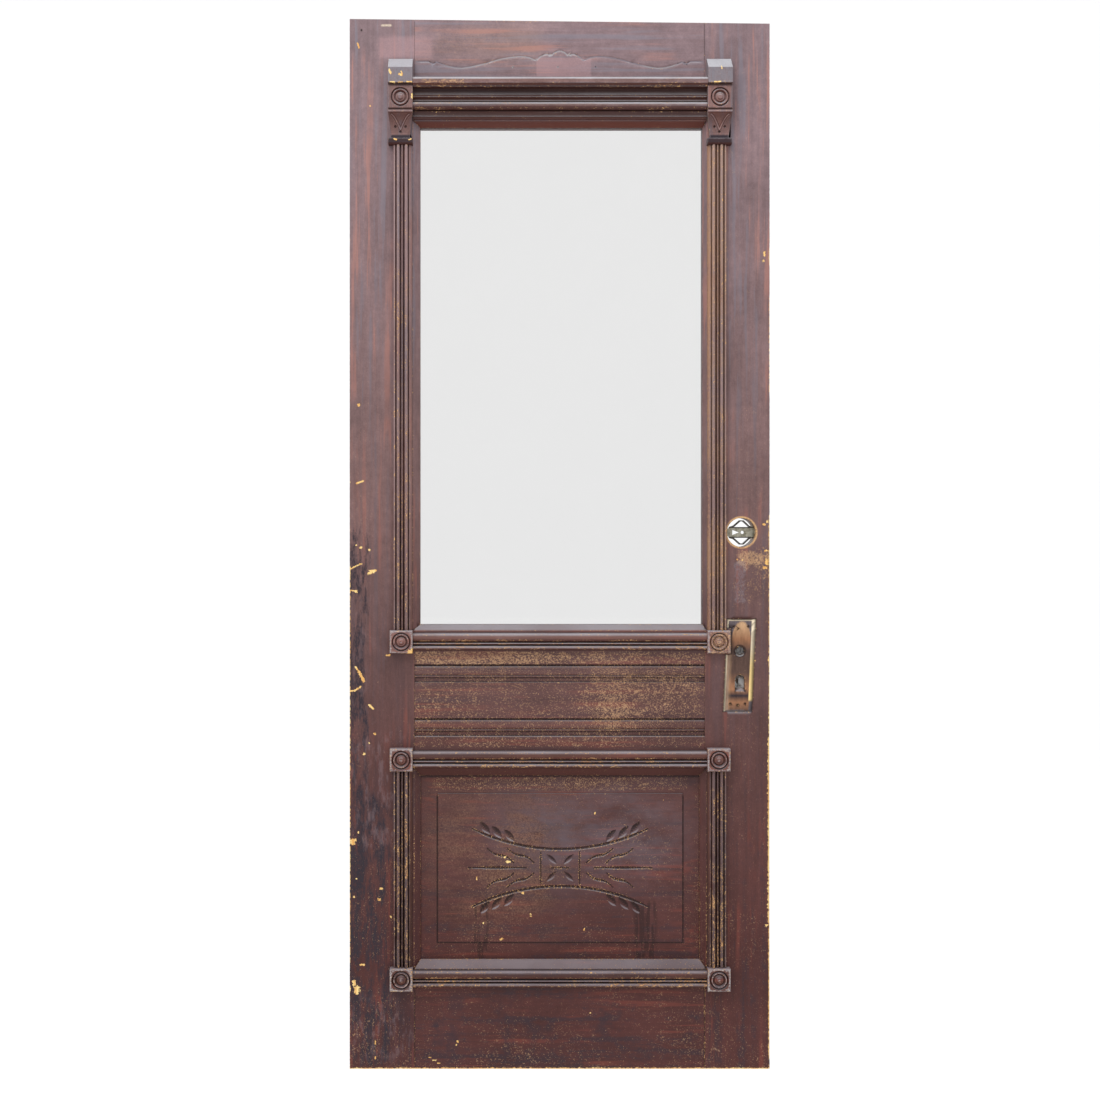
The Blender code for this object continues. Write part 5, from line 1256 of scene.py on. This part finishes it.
class DoorSettings(bpy.types.PropertyGroup):
    """Colours, wear and light of the door."""

    # The coat's colours lighten towards the top as painted glare from above.
    varnish_high: paint("Varnish, top", "Sun-bleached varnish high on the door", 125, 104, 107)
    varnish_middle: paint("Varnish, middle", "Varnish halfway up the glass", 113, 87, 85)
    varnish_low: paint("Varnish, low", "Varnish at the height of the panel", 88, 58, 55)
    varnish_foot: paint("Varnish, foot", "Dark red varnish at the foot", 78, 43, 40)
    trim_high: paint("Trim, top", "Varnish of the planted trim, high up", 140, 108, 104)
    trim_middle: paint("Trim, middle", "Varnish of the planted trim, halfway", 130, 97, 91)
    trim_low: paint("Trim, low", "Varnish of the planted trim round the panel", 90, 58, 50)
    trim_foot: paint("Trim, foot", "Varnish of the lowest trim", 78, 49, 42)
    rust_high: paint("Red streaks, top", "Red stain that shows through, high up", 168, 118, 106)
    rust_low: paint("Red streaks, foot", "Red stain that shows through, low down", 118, 60, 50)
    # Grey-blue clouding of the varnish, which also stands for painted glare high up.
    haze_and_glare: paint("Haze, top", "Grey-blue bloom in the old varnish", 120, 116, 126)
    haze_and_glare_low: paint("Haze, foot", "Dark bloom in the varnish low down", 66, 46, 50)
    # Painted light from above on upward-facing slopes, also used for painted highlights.
    top_light: paint("Bleached tops", "Colour of upward slopes, high up", 158, 157, 160)
    top_light_low: paint("Bleached tops, foot", "Colour of upward slopes, low down", 126, 116, 120)
    sheen: paint("Sheen, top", "Blue-grey sheen on the crowns of the trim, high up", 142, 132, 136)
    sheen_low: paint("Sheen, foot", "Blue-grey sheen on the crowns of the trim, low", 112, 100, 103)
    # Painted shade on downward-facing slopes.
    underside_shade: paint("Undersides", "Dirty downward slopes", 70, 30, 20)
    black_varnish: paint("Black varnish", "Thick crazed patches", 44, 38, 46)
    # Dark colour of grime, and of painted shade in hollows, folds and under overhangs.
    soot_and_shade: paint("Dirt", "Dirt in the hollows", 30, 17, 17)
    soot_and_shade_high: paint("Dirt, top", "Dirt in the hollows, high up", 54, 29, 26)
    # Painted highlights on the rubbed rings of the corner blocks.
    pale_ring_highlight: paint("Pale rings", "Rubbed rings of the corner blocks", 196, 190, 188)
    cap_grey: paint("Cap grey", "Blue-grey caps of the consoles", 118, 118, 126)
    # Painted shade on the splay over the glass.
    shaded_splay_red: paint("Splay", "Red splay over the glass", 150, 74, 50)
    worn_light: paint("Rubbed, light", "Varnish rubbed thin, lighter", 190, 152, 116)
    worn_dark: paint("Rubbed, dark", "Varnish rubbed thin, darker", 160, 122, 94)
    gilt_light: paint("Worn edge, light", "Wood showing on arrises, lighter", 222, 178, 120)
    gilt_dark: paint("Worn edge, dark", "Wood showing on arrises, darker", 160, 112, 76)
    bare_light: paint("Bare, light", "Freshly chipped wood, lighter", 240, 208, 140)
    bare_dark: paint("Bare, dark", "Freshly chipped wood, darker", 216, 160, 90)
    cream: paint("Cream edge", "Old ground coat at the lock plate's bed", 240, 222, 192)
    print_tan: paint("Plate print, light", "Print of the lost lock plate, lighter", 154, 108, 78)
    print_dark: paint("Plate print, dark", "Print of the lost lock plate, darker", 86, 64, 56)
    bed_grey: paint("Plate bed", "Painted bed beside the print", 98, 88, 92)
    pink_patch: paint("Lighter coat", "Squares of lighter coat on the top rail", 166, 132, 134)
    glass_tint: FloatVectorProperty(name="Glass tint", description="Tint of the pane", subtype="COLOR",
                                    default=(0.79, 0.79, 0.788))
    zinc: paint("Zinc", "Plated latch", 176, 172, 156)
    steel: paint("Steel", "Lock case", 176, 174, 172)
    edge_wear: FloatProperty(name="Edge wear", description="How much the arrises are rubbed through", min=0.0,
                             max=1.0, default=0.9, subtype="FACTOR")
    nick_depth: FloatProperty(name="Nick depth", description="Depth of nicks in the mouldings", min=0.0,
                              max=0.002, default=0.0008, unit="LENGTH")
    key_light: FloatProperty(name="Key light", description="Power of the large light above", min=0.0, default=90.0)
    sky_light: FloatProperty(name="Sky light", description="Strength of the even light all round", min=0.0,
                             default=0.85)


class DOOR_OT_frame(bpy.types.Operator):
    """Stiles and rails with broken arrises and chipped varnish"""

    bl_idname = "cottage_door.frame"
    bl_label = "Stiles and Rails"

    def execute(self, context):
        hinge_chips = [chip for chip in STILE_CHIPS if chip[0] < 500]
        lock_chips = [chip for chip in STILE_CHIPS if chip[0] > 500]
        frame_member("hinge_stile", "upright", hinge_chips, "hinge", marks=crazed_varnish,
                     rubbed=((350, 380, 372, 560, 8.0, 0.25),))
        frame_member("lock_stile", "upright", lock_chips, "lock", marks=lock_marks,
                     rubbed=((742, 552, 772, 566, 9.0, 0.95), (750, 545, 775, 600, 12.0, 0.55),
                             (728, 400, 768, 515, 14.0, 0.34), (728, 575, 762, 612, 14.0, 0.50)))
        frame_member("top_rail", "level", hollow="scratched", marks=top_rail_patches)
        frame_member("lock_rail", "level", RAIL_CHIPS,
                     rubbed=((413, 652, 706, 748, 2.0, 0.60), (580, 655, 712, 742, 24.0, 0.80),
                             (500, 685, 610, 716, 24.0, 0.66),
                             *((414, 651, right, 665, 3.0, amount)
                               for right, amount in ((540, 1.12), (572, 0.98), (606, 0.86), (706, 0.74)))))
        frame_member("bottom_rail", "level", RAIL_CHIPS, marks=foot_stains,
                     rubbed=((560, 1030, 700, 1062, 10.0, 0.42),))
        return {"FINISHED"}


class DOOR_OT_panel(bpy.types.Operator):
    """Raised panel with its carving"""

    bl_idname = "cottage_door.panel"
    bl_label = "Carved Panel"

    def execute(self, context):
        carved_panel()
        return {"FINISHED"}


class DOOR_OT_mouldings(bpy.types.Operator):
    """Reeded strips and the head moulding"""

    bl_idname = "cottage_door.mouldings"
    bl_label = "Mouldings"

    def execute(self, context):
        upright = aged_varnish("upright_trim", "upright", trim=True, marks=reed_wash,
                               rubbed=((704, 150, 732, 622, 3.0, 0.42), (700, 770, 732, 950, 3.0, 0.30),
                                       (390, 770, 402, 950, 3.0, 0.42)))
        level = aged_varnish("level_trim", "level", trim=True)
        head = aged_varnish("head_trim", "level", trim=True, rubbed=((422, 83, 464, 87, 2.0, 1.2),),
                            marks=head_shade)
        for kind in ("glass_reed_", "panel_reed_"):
            for side in SIDES:
                strip(kind + side, UPRIGHT_REED, upright, 0, 1 if side == "hinge_side" else -1)
        for name in ("sill_reed", "panel_reed_top", "panel_reed_bottom"):
            strip(name, LEVEL_REED, level, 2, -1)
        strip("head_moulding", HEAD_MEMBERS, head, 2, 1, HEAD_GRIME_AND_SHADE)
        return {"FINISHED"}


class DOOR_OT_blocks(bpy.types.Operator):
    """Corner blocks with turned rosettes"""

    bl_idname = "cottage_door.blocks"
    bl_label = "Corner Blocks"

    def execute(self, context):
        material = aged_varnish("block_trim", "level", trim=True, marks=block_highlights,
                                rubbed=((708, 631, 731, 654, 1.5, 0.95),))
        for kind in ("sill_block_", "panel_block_top_", "panel_block_bottom_"):
            for side in SIDES:
                corner_block(kind + side, material, (1.0, -1.0) if kind + side == "sill_block_hinge_side" else None)
        return {"FINISHED"}


class DOOR_OT_consoles(bpy.types.Operator):
    """Capped consoles at the head of the glass"""

    bl_idname = "cottage_door.consoles"
    bl_label = "Consoles"

    def execute(self, context):
        material = aged_varnish("console_trim", "upright", trim=True, marks=console_shade)
        for side in SIDES:
            console("console_" + side, material)
        return {"FINISHED"}


class DOOR_OT_fittings(bpy.types.Operator):
    """Glass, its stops at the back, the latch and the lock case"""

    bl_idname = "cottage_door.fittings"
    bl_label = "Glass and Ironwork"

    def execute(self, context):
        finish = settings()
        repaint("glass_pane", clear_glass("old_glass"))
        for side, grain in (("top", "level"), ("bottom", "level"), ("hinge_side", "upright"), ("lock_side", "upright")):
            repaint("back_stop_" + side, aged_varnish("back_stop_" + side + "_varnish", grain))
        repaint("deadbolt_latch", painted_steel("zinc", finish.zinc, tone(120, 116, 96), 0.42, 0.0080))
        repaint("mortise_lock_case", painted_steel("lock_steel", finish.steel, tone(84, 66, 54), 0.5))
        return {"FINISHED"}


# The sweep, in metres: width, near and far end of the floor, radius of its bend, height of the wall above that, and
# how far the floor lies below the door
SWEEP_WIDTH, FLOOR_NEAR, FLOOR_FAR, SWEEP_BEND, WALL_HEIGHT, FLOOR_DROP = 60.0, -24.0, 6.0, 3.0, 9.0, 0.35
PAPER_DARK, PAPER_PALE, PAPER_GLOW = (0.35, 0.347, 0.343), (0.37, 0.367, 0.363), 0.66
SKY_COLOUR = (0.97, 0.98, 1.0, 1.0)
# Name, place, size, share of the key light's power and colour
LAMPS = (("key", (-1.6, -3.4, 3.4), 2.6, 1.0, (1.0, 0.985, 0.96)),
         ("top", (0.5, -1.2, 3.6), 3.0, 0.75, (0.88, 0.94, 1.0)))
LAMP_TARGET = Vector((0.40, 0.0, -0.1))
EYE = (0.2405, -3.227, -0.029)
LENS, SENSOR, EYE_SHIFT = 54.1, 36.0, (0.068, -0.0155)


class DOOR_OT_stage(bpy.types.Operator):
    """Pale sweep, soft light and the camera of the photograph"""

    bl_idname = "cottage_door.stage"
    bl_label = "Stage"

    def execute(self, context):
        scene = context.scene
        finish = settings()
        floor = CORNER.z - FLOOR_DROP
        bm = bmesh.new()
        bmesh.ops.create_grid(bm, x_segments=1, y_segments=40, size=0.5)
        for vert in bm.verts:
            along = vert.co.y + 0.5
            vert.co.x *= SWEEP_WIDTH
            run = min(along / 0.5, 1.0)
            turn = held((along - 0.5) / 0.25, 0.0, 1.0) * math.pi / 2
            wall = max((along - 0.75) / 0.25, 0.0)
            vert.co.y = FLOOR_NEAR + run * (FLOOR_FAR - FLOOR_NEAR) + SWEEP_BEND * math.sin(turn)
            vert.co.z = floor + SWEEP_BEND * (1 - math.cos(turn)) + wall * WALL_HEIGHT
        mesh = bpy.data.meshes.new("pale_sweep")
        bm.to_mesh(mesh)
        bm.free()
        mesh.shade_smooth()
        sweep = bpy.data.objects.new("pale_sweep", mesh)
        scene.collection.objects.link(sweep)
        paper = Surface("pale_paper", Emission_Strength=PAPER_GLOW)
        paper.finish(paper.over(paper.noise(paper.place, 3.0), PAPER_DARK, PAPER_PALE), 0.9,
                     paper.noise(paper.place, 200.0), 0.0001, 0.0)
        mesh.materials.append(paper.material)

        world = bpy.data.worlds.new("even_light")
        world.use_nodes = True
        sky = world.node_tree.nodes["Background"]
        sky.inputs["Color"].default_value = SKY_COLOUR
        sky.inputs["Strength"].default_value = finish.sky_light
        scene.world = world
        for name, place, size, share, colour in LAMPS:
            lamp = bpy.data.lights.new(name, "AREA")
            lamp.shape = "DISK"
            lamp.size = size
            lamp.energy = finish.key_light * share
            lamp.color = colour
            made = bpy.data.objects.new(name, lamp)
            made.location = place
            made.rotation_euler = (LAMP_TARGET - Vector(place)).to_track_quat("-Z", "Y").to_euler()
            scene.collection.objects.link(made)

        eye = bpy.data.cameras.new("photograph")
        eye.lens = LENS
        eye.sensor_width = SENSOR
        eye.shift_x, eye.shift_y = EYE_SHIFT
        camera = bpy.data.objects.new("photograph", eye)
        camera.location = EYE
        camera.rotation_euler = (math.pi / 2, 0.0, 0.0)
        scene.collection.objects.link(camera)
        scene.camera = camera
        scene.view_settings.view_transform = "Standard"
        return {"FINISHED"}


class DOOR_PT_sidebar(bpy.types.Panel):
    bl_label = "Cottage Door"
    bl_idname = "DOOR_PT_sidebar"
    bl_space_type = "VIEW_3D"
    bl_region_type = "UI"
    bl_category = "Door"

    def draw(self, context):
        layout = self.layout
        for operator in OPERATORS:
            layout.operator(operator.bl_idname)
        for name in DoorSettings.__annotations__:
            layout.prop(context.scene.cottage_door, name)


OPERATORS = (DOOR_OT_frame, DOOR_OT_panel, DOOR_OT_mouldings, DOOR_OT_blocks, DOOR_OT_consoles, DOOR_OT_fittings,
             DOOR_OT_stage)


def register():
    for made in (DoorSettings, *OPERATORS, DOOR_PT_sidebar):
        bpy.utils.register_class(made)
    bpy.types.Scene.cottage_door = PointerProperty(type=DoorSettings)


def unregister():
    del bpy.types.Scene.cottage_door
    for made in (DOOR_PT_sidebar, *reversed(OPERATORS), DoorSettings):
        bpy.utils.unregister_class(made)


def main():
    register()
    for step in ("frame", "panel", "mouldings", "blocks", "consoles", "fittings", "stage"):
        getattr(bpy.ops.cottage_door, step)()


if __name__ == "__main__":
    main()
